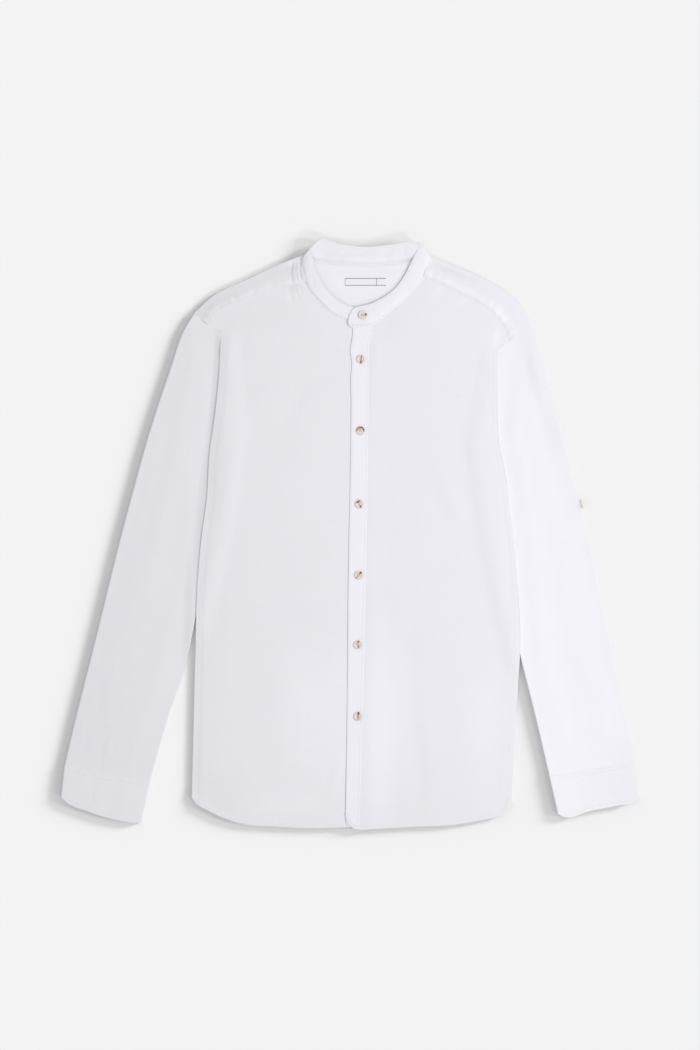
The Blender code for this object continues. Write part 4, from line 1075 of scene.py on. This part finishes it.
def pillar(rings, count, base=0):
    """Faces that join rings of points to each other and close both ends."""
    faces = []
    for r in range(rings - 1):
        for i in range(count):
            first, second = base + r * count, base + (r + 1) * count
            j = (i + 1) % count
            faces.append([first + i, first + j, second + j, second + i])
    last = base + (rings - 1) * count
    return faces + [[base + i for i in range(count)][::-1], [last + i for i in range(count)]]


BUTTON_SIDES = 48
HOLES = [(1.15, 1.15), (-1.15, 1.15), (-1.15, -1.15), (1.15, -1.15)]
HOLE_RADIUS = 0.62
HOLE_SIDES = 12


def button_shape():
    """A turned button with a rounded rim, a shallow dish and four holes."""
    rim, height = BUTTON_RADIUS, BUTTON_HEIGHT
    profile = [(rim - 1.8, 0.0), (rim - 0.9, 0.15), (rim - 0.2, 0.6), (rim, height - 0.95),
               (rim - 0.12, height - 0.45), (rim - 0.55, height - 0.08), (rim - 1.1, height),
               (rim - 1.6, height - 0.12), (rim - 2.1, height - 0.6), (rim - 2.6, height - 0.75)]
    points = [p for radius, z in profile for p in circle(radius, z, BUTTON_SIDES)]
    body = add_mesh("button_blank", points, pillar(len(profile), BUTTON_SIDES),
                    MATERIALS["thread"])
    points, faces = [], []
    for hole in HOLES:
        faces += pillar(2, HOLE_SIDES, len(points))
        for z in (-1.0, 4.0):
            points += circle(HOLE_RADIUS, z, HOLE_SIDES, hole)
    drill = add_mesh("button_drill", points, faces, MATERIALS["thread"])
    cut = body.modifiers.new("holes", "BOOLEAN")
    cut.object = drill
    cut.operation = "DIFFERENCE"
    cut.solver = "EXACT"
    bpy.context.view_layer.update()
    graph = bpy.context.evaluated_depsgraph_get()
    shape = bpy.data.meshes.new_from_object(body.evaluated_get(graph))
    for extra in (body, drill):
        bpy.data.objects.remove(extra, do_unlink=True)
    shape.materials.clear()
    return shape


def place_button(name, place, axis, finish, thick=1.0):
    """A button and its sewing thread at a place in millimetres, facing along axis."""
    out = Vector(axis).normalized()
    right = Vector((0.0, 1.0, 0.0)).cross(out).normalized()
    facing = Matrix((right, out.cross(right), out)).transposed().to_4x4()
    there = Matrix.Translation(Vector(place) * MM) @ facing \
        @ Matrix.Diagonal((1.0, 1.0, thick, 1.0))
    mesh = shape.copy()
    mesh.name = f"shown_{name}"
    mesh.materials.append(finish)
    buttons[name] = add_piece(f"shown_{name}", mesh, 40.0)
    buttons[name].matrix_world = there
    points, faces = [], []
    level = BUTTON_HEIGHT - 0.62
    for (ax, ay), (bx, by) in ((HOLES[0], HOLES[3]), (HOLES[1], HOLES[2])):
        for off in (-THREAD_RADIUS, THREAD_RADIUS):
            run = [(ax + off, ay, 0.4), (ax + off, ay, level - 0.15),
                   (ax + off, ay - 0.35, level + 0.12),
                   ((ax + bx) / 2 + off, (ay + by) / 2, level + 0.2),
                   (bx + off, by + 0.35, level + 0.12), (bx + off, by, level - 0.15),
                   (bx + off, by, 0.4)]
            faces += pillar(len(run), THREAD_SIDES, len(points))
            points += thread(run)
    points = [tuple(there @ (Vector(p) * MM) / MM) for p in points]
    threads[name] = add_mesh(f"shown_{name}_thread", points, faces, MATERIALS["thread"])


THREAD_RADIUS = 0.24
THREAD_SIDES = 6


def thread(run):
    """Points of a round thread along a few places."""
    run = np.array(run, dtype=float)
    ahead = unit(np.gradient(run, axis=0))
    side = unit(np.cross(ahead, (1.0, 0.13, 0.07)))
    up = np.cross(side, ahead)
    turns = [2 * math.pi * i / THREAD_SIDES for i in range(THREAD_SIDES)]
    return [tuple(p + THREAD_RADIUS * (s * math.cos(t) + u * math.sin(t)))
            for p, s, u in zip(run, side, up) for t in turns]


def stitch_mesh(name, rows):
    """Stitches as small rounded threads; rows hold (place, direction, outward) arrays."""
    long, _, radius = STITCH
    points, faces, base = [], [], 0
    for places, ahead, out in rows:
        side = unit(np.cross(ahead, out))
        block = [places - ahead * long / 2]
        for along in (0.3 - long / 2, long / 2 - 0.3):
            for k in range(5):
                angle = 2 * math.pi * k / 5
                block.append(places + ahead * along
                             + radius * (side * math.cos(angle) + out * math.sin(angle)))
        block.append(places + ahead * long / 2)
        points.append(np.stack(block, axis=1).reshape(-1, 3))
        for o in range(base, base + 12 * len(places), 12):
            for k in range(5):
                j = (k + 1) % 5
                faces.append([o, o + 1 + j, o + 1 + k])
                faces.append([o + 1 + k, o + 1 + j, o + 6 + j, o + 6 + k])
                faces.append([o + 11, o + 6 + k, o + 6 + j])
        base += 12 * len(places)
    stitching[name] = add_mesh(f"stitches_{name}", np.concatenate(points), faces,
                               MATERIALS["thread"], sharp=180.0)


def sewn(points, distance, name, start, stop, above=True):
    """A row of stitches on a piece of cloth, beside a plan line, from above or below."""
    line = Line(moved_off(points, distance) if distance else points)
    pitch = STITCH[0] + STITCH[1]
    count = max(int(line.length * (stop - start) / pitch), 1)
    share = start + (stop - start) * (np.arange(count) + 0.5) / count
    step = 0.4 * STITCH[0] / line.length
    down = Vector((0, 0, -1 if above else 1))
    found = []
    for where in (share, share - step, share + step):
        found.append([trees[name].ray_cast(Vector((x * MM, y * MM, 0.1 if above else -0.1)), down)
                      for x, y in line.at(where)[:, :2]])
    hits = [spots for spots in zip(*found) if all(spot[0] is not None for spot in spots)]
    middle, before, after = (np.array([(*hit[k][0], *hit[k][1]) for hit in hits])
                             for k in range(3))
    out = unit(middle[:, 3:])
    out *= np.where((out[:, 2] > 0) == above, 1.0, -1.0)[:, None]
    places = middle[:, :3] / MM + out * (STITCH[2] - STITCH_SINK - 0.1)
    return places, unit(after[:, :3] - before[:, :3]), out


def band_stitches():
    """Rows of stitches along the band's lower and upper edge, outside and inside."""
    rows = []
    number = np.arange(0.15, BAND_LAST - 0.15, (STITCH[0] + STITCH[1]) / BAND_STEP * 1.6)
    for up in (line / BAND_HEIGHT for line in BAND_SEAMS):
        ups = np.full(len(number), up)
        place = band_point(number, ups)
        ahead = unit(band_point(number + 0.05, ups) - band_point(number - 0.05, ups))
        above = band_point(number, np.minimum(ups + 0.05, 1.0)) - band_point(number, ups - 0.05)
        out = unit(np.cross(above, ahead))
        for sign in (1.0, -1.0):
            rows.append((place + sign * out * (BAND_WALL / 2 - 0.06), ahead, sign * out))
    return rows


def tree(piece):
    """Ray-casting tree of a piece's mesh, in metres."""
    bm = bmesh.new()
    bm.from_object(piece, bpy.context.evaluated_depsgraph_get())
    made = BVHTree.FromBMesh(bm)
    bm.free()
    return made


class Looks:
    """A material and its nodes; inputs that are given an output are linked, others are set."""

    def __init__(self, name, **inputs):
        self.material = bpy.data.materials.new(name)
        self.material.use_nodes = True
        self.nodes, self.links = self.material.node_tree.nodes, self.material.node_tree.links
        self.shader = self.nodes["Principled BSDF"]
        self.feed(self.shader, inputs)
        self.place = self.add("TexCoord", "Object")

    def feed(self, node, inputs):
        """Link or set some inputs of a node, by name or number."""
        for key, value in inputs.items():
            socket = node.inputs[key.replace("_", " ") if isinstance(key, str) else key]
            if isinstance(value, bpy.types.NodeSocket):
                self.links.new(value, socket)
            else:
                socket.default_value = value

    def add(self, kind, output, numbered=(), how=(), **named):
        """An output of a new node; how holds its settings."""
        made = self.nodes.new(f"ShaderNode{kind}")
        for key, value in dict(how).items():
            setattr(made, key, value)
        self.feed(made, dict(numbered))
        self.feed(made, named)
        return made.outputs[output]

    def maths(self, operation, *values):
        """The result of a sum, product, difference, size or maximum."""
        return self.add("Math", "Value", enumerate(values), {"operation": operation})

    def weighed(self, *terms):
        """Sum of values, each times a weight."""
        return functools.reduce(lambda a, b: self.maths("ADD", a, b),
                                [self.maths("MULTIPLY", *term) for term in terms])

    def most(self, values):
        """The highest of a few values."""
        return functools.reduce(lambda a, b: self.maths("MAXIMUM", a, b), values)

    def ramp(self, factor, *stops):
        """Colours along a factor, from (position, colour) stops in order."""
        made = self.nodes.new("ShaderNodeValToRGB")
        elements = made.color_ramp.elements
        elements[0].position, elements[1].position = stops[0][0], stops[-1][0]
        for position, _ in stops[1:-1]:
            elements.new(position)
        for element, (_, colour) in zip(elements, stops):
            element.color = (*colour, 1.0)
        self.links.new(factor, made.inputs["Fac"])
        return made.outputs["Color"]

    def spot(self, place, x, y, half_width, half_length, turn, span, values):
        """A soft spot: values hold what it gives outside and in its middle, span where."""
        place = self.add("Mapping", "Vector", Vector=place, Location=(-x * MM, -y * MM, 0.0))
        place = self.add("Mapping", "Vector", Vector=place,
                         Rotation=(0.0, 0.0, math.radians(turn)))
        place = self.add("Mapping", "Vector", Vector=place,
                         Scale=(1 / (half_width * MM), 1 / (half_length * MM), 0.0))
        reach = self.add("VectorMath", "Value", {0: place}, {"operation": "LENGTH"})
        return self.add("MapRange", "Result", how={"interpolation_type": "SMOOTHSTEP"},
                        Value=reach, From_Min=span[0], From_Max=span[1], To_Min=values[0],
                        To_Max=values[1])


def cloth_material(name, tone=1.0, turn=0.0, tint=(0.765, 0.757, 0.801), weave=2100.0,
                   painted_shading=(), painted_patches=(), lines=()):
    """Slubbed white cotton and linen: plain weave, thicker threads here and there, soft nap, and
    painted light and shade in slow ramps and soft patches of tone.
    """
    looks = Looks(name, Roughness=0.88, Specular_IOR_Level=0.25, Sheen_Weight=0.12,
                  Sheen_Roughness=0.6)
    grain = looks.add("Mapping", "Vector", Vector=looks.place, Rotation=(0.0, 0.0, turn))

    def streaks(scale, detail, low, high):
        stretched = looks.add("Mapping", "Vector", Vector=grain, Scale=scale)
        noise = looks.add("TexNoise", "Fac", Vector=stretched, Scale=1.0, Detail=detail,
                          Roughness=0.6)
        return looks.add("MapRange", "Result", Value=noise, From_Min=low, From_Max=high)

    warp = streaks((900.0, 26.0, 300.0), 2.0, 0.3, 0.75)
    weft = streaks((22.0, 820.0, 300.0), 2.0, 0.3, 0.75)
    slub = streaks((70.0, 620.0, 200.0), 1.0, 0.58, 0.74)
    cloud = streaks((14.0, 11.0, 14.0), 3.0, 0.3, 0.7)
    mixed = looks.weighed((looks.weighed((warp, 0.5), (weft, 0.5)), 0.55), (slub, 0.25),
                          (cloud, 0.2))
    colour = looks.ramp(mixed, (0.15, tuple(c * tone * 0.975 for c in tint)),
                        (0.85, tuple(min(c * tone * 1.015, 1.0) for c in tint)))

    def along(axis):
        split = looks.nodes.new("ShaderNodeSeparateXYZ")
        looks.feed(split, {"Vector": grain})
        return split.outputs[axis]

    # Painted light and shade: slow ramps and soft patches that make the colour lighter or darker
    factors = [looks.add("MapRange", "Result", Value=along(axis), From_Min=start, From_Max=stop,
                         To_Min=before, To_Max=after)
               for axis, start, stop, before, after in painted_shading]
    factors += [looks.spot(looks.place, *shape, PATCH_SPAN, (1.0, gain))
                for *shape, gain in painted_patches]
    for factor in factors:
        colour = looks.add("VectorMath", "Vector", {0: colour}, {"operation": "SCALE"},
                           Scale=factor)
    if lines:
        ink = [looks.add("MapRange", "Result",
                         Value=looks.maths("ABSOLUTE",
                                           looks.maths("SUBTRACT", along(axis), at * MM)),
                         From_Min=1.5 * LABEL_LINE * MM, From_Max=0.5 * LABEL_LINE * MM)
               for axis, at in lines]
        colour = looks.add("Mix", 2, {6: colour, 7: LABEL_INK}, {"data_type": "RGBA"},
                           Factor=looks.most(ink))
    waves = [looks.add("TexWave", "Fac", how={"bands_direction": direction}, Vector=grain,
                       Scale=weave / 6.2832, Distortion=0.6, Detail=1.0)
             for direction in ("X", "Y")]
    woven = looks.weighed((looks.maths("ADD", *waves), 0.35), (mixed, 0.9))
    bump = looks.add("Bump", "Normal", Height=woven, Strength=0.3, Distance=0.00008)
    looks.feed(looks.shader, {"Base Color": colour, "Normal": bump})
    return looks.material


# Where a patch of painted light or shade and a button's streak start and are full, in their half
# sizes
PATCH_SPAN = (1.3, 0.2)
STREAK_SPAN = (1.35, 0.35)
LABEL_INK = (0.16, 0.14, 0.25, 1.0)
LABEL_LINE = 0.35          # half width of the label's woven lines
# Their axis and place
LABEL_LINES = [("Y", LABEL_CENTRE[1] + 4.5), ("Y", LABEL_CENTRE[1] - 4.5),
               ("X", LABEL_CENTRE[0] + 14.5)]


def thread_material():
    """Sewing thread, faintly mottled."""
    looks = Looks("sewing_thread", Roughness=0.6)
    noise = looks.add("TexNoise", "Fac", Vector=looks.place, Scale=900.0, Detail=2.0)
    mottled = looks.ramp(noise, *((at, [c * gain for c in (0.78, 0.77, 0.79)])
                                  for at, gain in ((0.0, 0.93), (1.0, 1.04))))
    looks.feed(looks.shader, {"Base Color": mottled})
    return looks.material


def button_material(name, seed):
    """Horn-like resin: cream with soft brown streaks."""
    looks = Looks(f"resin_{name}", Roughness=0.38, Coat_Weight=0.12, Coat_Roughness=0.2)
    shift = looks.add("Mapping", "Vector", Vector=looks.place,
                      Location=(0.013 * seed, 0.007 * seed, 0.0))
    noise = looks.add("TexNoise", "Color", Vector=shift, Scale=420.0, Detail=3.0, Roughness=0.6)
    bent = looks.add("VectorMath", "Vector", {0: noise, 1: (0.0022, 0.0022, 0.0), 2: looks.place},
                     {"operation": "MULTIPLY_ADD"})
    brown = looks.most([
        looks.spot(bent, across + 1.1, along + 1.1, width, length, -angle, STREAK_SPAN,
                   (0.0, strength))
        for angle, across, along, width, length, strength in STREAKS[name]])
    colour = looks.ramp(brown, (0.0, (0.71, 0.65, 0.60)), (0.3, (0.55, 0.42, 0.33)),
                        (0.65, (0.33, 0.18, 0.12)), (1.0, (0.13, 0.045, 0.02)))
    looks.feed(looks.shader, {"Base Color": colour})
    return looks.material


SHIRT = bpy.data.collections.new("shirt_looks")
bpy.context.scene.collection.children.link(SHIRT)

# Painted light and shade as slow ramps of tone (the left sleeve and cuff lighter beside the body;
# the yoke darker towards its right shoulder and lighter inside the neck): axis, from and to in
# metres, tone there
SLEEVE_PAINTED_LIGHT = [("X", 0.19, 0.31, 1.085, 1.0)]
YOKE_PAINTED_SHADING = [("X", -0.20, -0.06, 0.945, 1.005), ("Z", 0.0018, 0.0026, 1.075, 1.0)]
# Painted light and shade as soft lighter and darker places (painted highlights on folds and
# puckers, painted shade in valleys and beside edges): x, y, half width, half length, turn, gain
FRONT_PAINTED_SHADING = [
    (43, -250, 24, 150, 0, 1.06), (-22, -250, 50, 130, 0, 1.03), (-183, 120, 20, 140, -4, 0.96),
    (-172, 232, 10, 50, 3, 0.965), (-74, 331, 8, 13, 12, 0.91), (178, 208, 8, 48, 14, 1.025),
    (-148, 160, 10, 80, -8, 0.985), (194, 266, 6, 16, 10, 1.035), (-110, 290, 60, 30, 0, 0.985),
    (115, 323, 7, 14, 60, 1.03), (150, 309, 8, 12, 55, 1.03), (-90, -360, 60, 22, 0, 1.03),
    (-180, 200, 9, 70, 4, 0.97), (-68, -220, 30, 90, 0, 1.02), (175, -260, 26, 90, 0, 1.02),
    (0, -250, 230, 130, 0, 1.012), (230, -150, 14, 120, 0, 1.02), (196, 258, 7, 14, 0, 1.035),
]
YOKE_PAINTED_SHADING_PATCHES = [
    (108, 345, 5, 9, -65, 1.05), (121, 340, 5, 8, -62, 1.035), (134, 334, 5, 9, -60, 1.055),
    (147, 327, 5, 8, -58, 1.03), (160, 321, 6, 10, -62, 1.05), (174, 313, 6, 9, -55, 1.04),
    (186, 306, 7, 10, -48, 1.055), (197, 297, 6, 9, -38, 1.04), (207, 284, 6, 12, -25, 1.05),
    (214, 268, 5, 8, -20, 1.03), (-84, 336, 5, 9, 70, 1.03), (-110, 329, 5, 9, 68, 1.03),
    (-134, 321, 5, 8, 68, 1.035), (-158, 311, 5, 9, 65, 1.03), (-176, 302, 5, 8, 50, 1.02),
    (-74, 354, 9, 17, 6, 0.88), (200, 290, 7, 16, -12, 1.06), (-95, 345, 34, 16, 20, 0.975),
    (140, 347, 6, 36, -68, 0.955), (20, 349, 62, 9, 0, 0.98), (-42, 352, 12, 10, 0, 1.025),
    (140, 330, 8, 45, -64, 1.02), (193, 295, 10, 22, -47, 1.02),
]
SLEEVE_PAINTED_SHADE = [
    (-179, 190, 6, 85, 3, 0.89), (-196, 40, 8, 110, 6, 0.9), (-215, -120, 7, 85, 1, 0.92),
    (-176, 255, 5, 22, 0, 0.92), (-184, 150, 6, 30, 3, 0.95), (-195, 185, 12, 95, 6, 0.975),
    (-216, -20, 14, 140, 5, 0.975), (-218, 262, 8, 16, 20, 0.97),
]
LEFT_SLEEVE_PAINTED_SHADING = [
    (208, 205, 14, 60, 8, 1.02), (243, 213, 8, 50, -15, 0.955), (267, 135, 14, 40, -15, 0.975),
]
BAND_PAINTED_SHADING = [
    (66, 324, 15, 66, 40, 1.03), (-74, 350, 10, 16, 0, 0.99), (20, 363, 62, 7, 0, 1.035),
    (-43, 366, 10, 12, 0, 1.06), (-30, 305, 5, 48, -46, 1.035),
]
SLEEVE_TURN = math.radians(13)

MATERIALS = {
    "thread": thread_material(),
    "label": cloth_material("label_weave", tint=(0.80, 0.79, 0.82), weave=4200.0,
                            lines=LABEL_LINES),
    "front": cloth_material("shirting_front", painted_patches=FRONT_PAINTED_SHADING),
    "back": cloth_material("shirting_back"),
    "yoke": cloth_material("shirting_yoke", painted_shading=YOKE_PAINTED_SHADING, painted_patches=YOKE_PAINTED_SHADING_PATCHES),
    "band": cloth_material("shirting_band", tone=1.04, painted_patches=BAND_PAINTED_SHADING),
    "placket": cloth_material("shirting_placket", tone=1.07),
    "sleeve_right": cloth_material("shirting_sleeve_right", turn=SLEEVE_TURN,
                                   painted_patches=SLEEVE_PAINTED_SHADE),
    "sleeve_left": cloth_material("shirting_sleeve_left", turn=-SLEEVE_TURN,
                                  painted_shading=SLEEVE_PAINTED_LIGHT, painted_patches=LEFT_SLEEVE_PAINTED_SHADING),
    "cuff_right": cloth_material("shirting_cuff_right", tone=1.025, turn=SLEEVE_TURN),
    "cuff_left": cloth_material("shirting_cuff_left", tone=0.99, turn=-SLEEVE_TURN,
                                painted_shading=SLEEVE_PAINTED_LIGHT),
}

# Brown streaks of each button: angle, across, along, half width, half length, strength
STREAKS = {
    "button_1": [
        (0, 4.1, 0.3, 1.5, 1.7, 1), (90, -1.4, -0.2, 1.3, 2.6, 0.42),
        (0, 0.6, 0.4, 1.4, 1.2, 0.35),
    ],
    "button_2": [
        (0, -0.3, -3.7, 1.5, 1.7, 1), (3, 0.2, 0.2, 1.1, 4.6, 0.6), (0, 0.4, 3.8, 1.1, 1.6, 0.8),
    ],
    "button_3": [
        (-12, -4.1, 1, 1.2, 2.4, 0.75), (-48, -2.7, 3, 1.2, 2.4, 0.85),
        (90, -0.1, 3.9, 1.2, 2.6, 0.9), (48, 2.7, 3.1, 1.2, 2.4, 0.9),
        (8, 4.1, 0.8, 1.2, 2.4, 0.8), (-40, -1.2, 0.6, 0.9, 2.2, 0.55),
    ],
    "button_4": [
        (-52, -1.8, 2.8, 1.3, 3.4, 1), (20, 1.5, -3.5, 1.5, 1.7, 0.9),
        (38, 0, -0.6, 1.1, 2.6, 0.4),
    ],
    "button_5": [
        (-43, 2, 3, 1.6, 2.2, 1), (-43, -1, -0.2, 1.5, 4.6, 0.5),
        (-43, -3.2, -3.4, 1.4, 1.6, 0.45),
    ],
    "button_6": [
        (-10, 0.5, 4, 1.4, 1.9, 0.85), (-18, -0.8, 1.4, 1.1, 2.2, 0.6),
        (15, 0.5, -2.8, 1.3, 2, 0.7),
    ],
    "button_7": [
        (-4, 0.7, 4.2, 1.5, 2.3, 1), (4, 0.2, 0.4, 1.1, 4.8, 0.6), (0, -0.1, -3.6, 1.2, 1.6, 0.55),
    ],
    "tab_button": [
        (0, 0, -2.9, 3.4, 2.3, 1), (0, 0, 3.4, 2.4, 1.6, 0.4),
    ],
}

cloths = {f"front_{side}": build_front(side, MATERIALS["front"]) for side in SIDES}
cloths["placket"] = build_placket(MATERIALS["placket"])
cloths["back"] = build_back(MATERIALS["back"])
cloths["yoke"] = build_yoke(MATERIALS["yoke"])
for side in SIDES:
    cloths[f"sleeve_{side}"] = build_sleeve(side, MATERIALS[f"sleeve_{side}"])
for side in SIDES:
    cloths[f"cuff_{side}"] = build_cuff(side, MATERIALS[f"cuff_{side}"])
cloths["collar_band"] = build_band(MATERIALS["band"])
cloths["neck_label"] = build_label(MATERIALS["label"])

trees = {name: tree(piece) for name, piece in cloths.items()}
shape = button_shape()
buttons, threads, stitching = {}, {}, {}
for number in range(1, 8):
    name = f"button_{number}"
    x, y, _ = np.mean(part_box(name), axis=0)
    if number == 1:
        row, up = BAND_LAST - 0.62, 0.58
        beside = band_point(row + 0.2, up) - band_point(row - 0.2, up)
        above = band_point(row, 0.7) - band_point(row, 0.42)
        axis = unit(np.cross(above, beside))
        place = band_point(row, up) + axis * (BAND_CLOTH / 2 + 2 * GAP)
    else:
        axis = (0, 0, 1)
        hit = trees["placket"].ray_cast(Vector((x, y, 0.1)), Vector((0, 0, -1)))[0]
        place = (x / MM, y / MM, hit.z / MM + 0.3)
    place_button(name, place, axis, button_material(name, number))
edge_slope = (OUTER["left"].x_at(TAB_BUTTON_Y + 5) - OUTER["left"].x_at(TAB_BUTTON_Y)) / 5
sideways = np.array([1.0, -edge_slope, 0.0]) / math.hypot(1.0, edge_slope)
axis = math.cos(TAB_BUTTON_TILT) * sideways \
    + math.sin(TAB_BUTTON_TILT) * np.array([0.0, 0.0, 1.0])
place = np.mean(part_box("tab_button"), axis=0) / MM - axis * (BUTTON_HEIGHT / 2 + 0.5)
place_button("tab_button", place, axis, button_material("tab_button", 9), thick=1.3)

for side in SIDES:
    name = f"front_{side}"
    stitch_mesh(name, [sewn(HEM_CURVE[side].at(np.linspace(0, 1, 90)), -OUTWARD[side] * HEM_SEAM,
                            name, 0.0, 0.985 if side == "left" else 0.93)])
    name = f"cuff_{side}"
    end = Line(CUFF_END[side]).at(np.linspace(0, 1, 40))
    seam = Line(CUFF_SEAM[side]).at(np.linspace(0, 1, 30))
    stitch_mesh(name, [sewn(end, -OUTWARD[side] * CUFF_END_SEAM, name, 0.04, 0.96),
                       *(sewn(seam, OUTWARD[side] * distance, name, 0.03, 0.97)
                         for distance in CUFF_SEAMS)])
stitch_mesh("placket", [
    sewn(front_plan("left", np.linspace(0.003, 0.997, 120), None, np.array([0.0, inset]))[:, 1],
         0.0, "placket", 0.0, 1.0)
    for inset in PLACKET_SEAMS])
stitch_mesh("yoke", [
    *(sewn(SEAM[side].at(np.linspace(0, 1, 40)), -OUTWARD[side] * distance, "yoke", 0.02, 0.98)
      for side in SIDES for distance in YOKE_SEAMS),
    *(sewn(BACK_SEAM.at(np.linspace(0, 1, 20)), distance, "yoke", 0.01, 0.99, above=False)
      for distance in YOKE_SEAMS)])
stitch_mesh("back", [sewn(BACK_HEM.at(np.linspace(0, 1, 120)), HEM_SEAM, "back", 0.01, 0.99,
                          above=False)])
stitch_mesh("collar_band", band_stitches())

# Hide each piece's solid and hang the pieces, buttons, threads and stitches on the root body
for node_name, piece in cloths.items():
    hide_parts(node_name)
    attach(piece, "root")
for node_name, piece in buttons.items():
    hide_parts(node_name)
    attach(piece, "root")
for piece in (*threads.values(), *stitching.values()):
    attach(piece, "root")

bpy.ops.mesh.primitive_plane_add(size=1.0)
floor = bpy.context.object
floor.name = "floor"
floor.scale = (8.0, 8.0, 1.0)
floor.location = (0.0, 0.0, -0.0004)

FLOOR_TONE = 0.791
ground = bpy.data.materials.new("pale_floor")
ground.use_nodes = True
shader = ground.node_tree.nodes["Principled BSDF"]
shader.inputs["Roughness"].default_value = 0.9
shader.inputs["Specular IOR Level"].default_value = 0.1
shader.inputs["Base Color"].default_value = (FLOOR_TONE,) * 3 + (1.0,)
floor.data.materials.append(ground)

world = bpy.context.scene.world or bpy.data.worlds.new("studio")
bpy.context.scene.world = world
world.use_nodes = True
world.node_tree.nodes["Background"].inputs["Color"].default_value = (1.0, 1.0, 1.0, 1.0)
world.node_tree.nodes["Background"].inputs["Strength"].default_value = 0.66


def add_lamp(name, kind, place, travel, energy, **settings):
    """A lamp at a place in metres whose light travels in a direction."""
    lamp = bpy.data.lights.new(name, kind)
    lamp.energy = energy
    for key, value in settings.items():
        setattr(lamp, key, value)
    made = bpy.data.objects.new(name, lamp)
    made.location = place
    made.rotation_euler = Vector(travel).to_track_quat("-Z", "Y").to_euler()
    bpy.context.scene.collection.objects.link(made)
    return made


def group(name, objects):
    """A collection of some objects, for light linking."""
    made = bpy.data.collections.new(name)
    for item in objects:
        made.objects.link(item)
    return made


# The key lights only the shirt, and the tab button throws no shadow on the sleeve's fold
KEY_PLACE = (0.95, 0.12, 1.6)
key = add_lamp("key", "AREA", KEY_PLACE, [-c for c in KEY_PLACE], 19.6, shape="SQUARE", size=1.4)
key.light_linking.receiver_collection = group("lit_by_key", list(SHIRT.objects))
at_edge = (buttons["tab_button"], threads["tab_button"])
key.light_linking.blocker_collection = group(
    "lit_by_key_blockers", [piece for piece in SHIRT.objects if piece not in at_edge])
# Low suns for the soft shadow on the floor: direction of travel, strength
LOW_SUNS = [((-1.0, -0.42, -0.25), 2.7), ((-1.0, -0.35, -0.18), 1.2),
            ((-1.0, 0.1, -0.27), 1.4), ((-0.85, 0.65, -0.42), 0.8)]
for number, (direction, energy) in enumerate(LOW_SUNS, start=1):
    sun = add_lamp(f"low_sun_{number}", "SUN", (0.0, 0.0, 0.0), direction, energy,
                   angle=math.radians(9.5))
    sun.light_linking.receiver_collection = group(f"lit_by_low_sun_{number}", [floor])

CAMERA_HEIGHT = 6.594
camera_data = bpy.data.cameras.new("camera")
camera_data.lens = 170.0
camera_data.sensor_fit = "VERTICAL"
camera_data.sensor_height = 36.0
camera_data.sensor_width = 36.0
camera_data.clip_end = 50.0
camera = bpy.data.objects.new("camera", camera_data)
camera.location = (0.0, 0.0126, CAMERA_HEIGHT)
bpy.context.scene.collection.objects.link(camera)
bpy.context.scene.camera = camera
bpy.context.scene.view_settings.view_transform = "Standard"
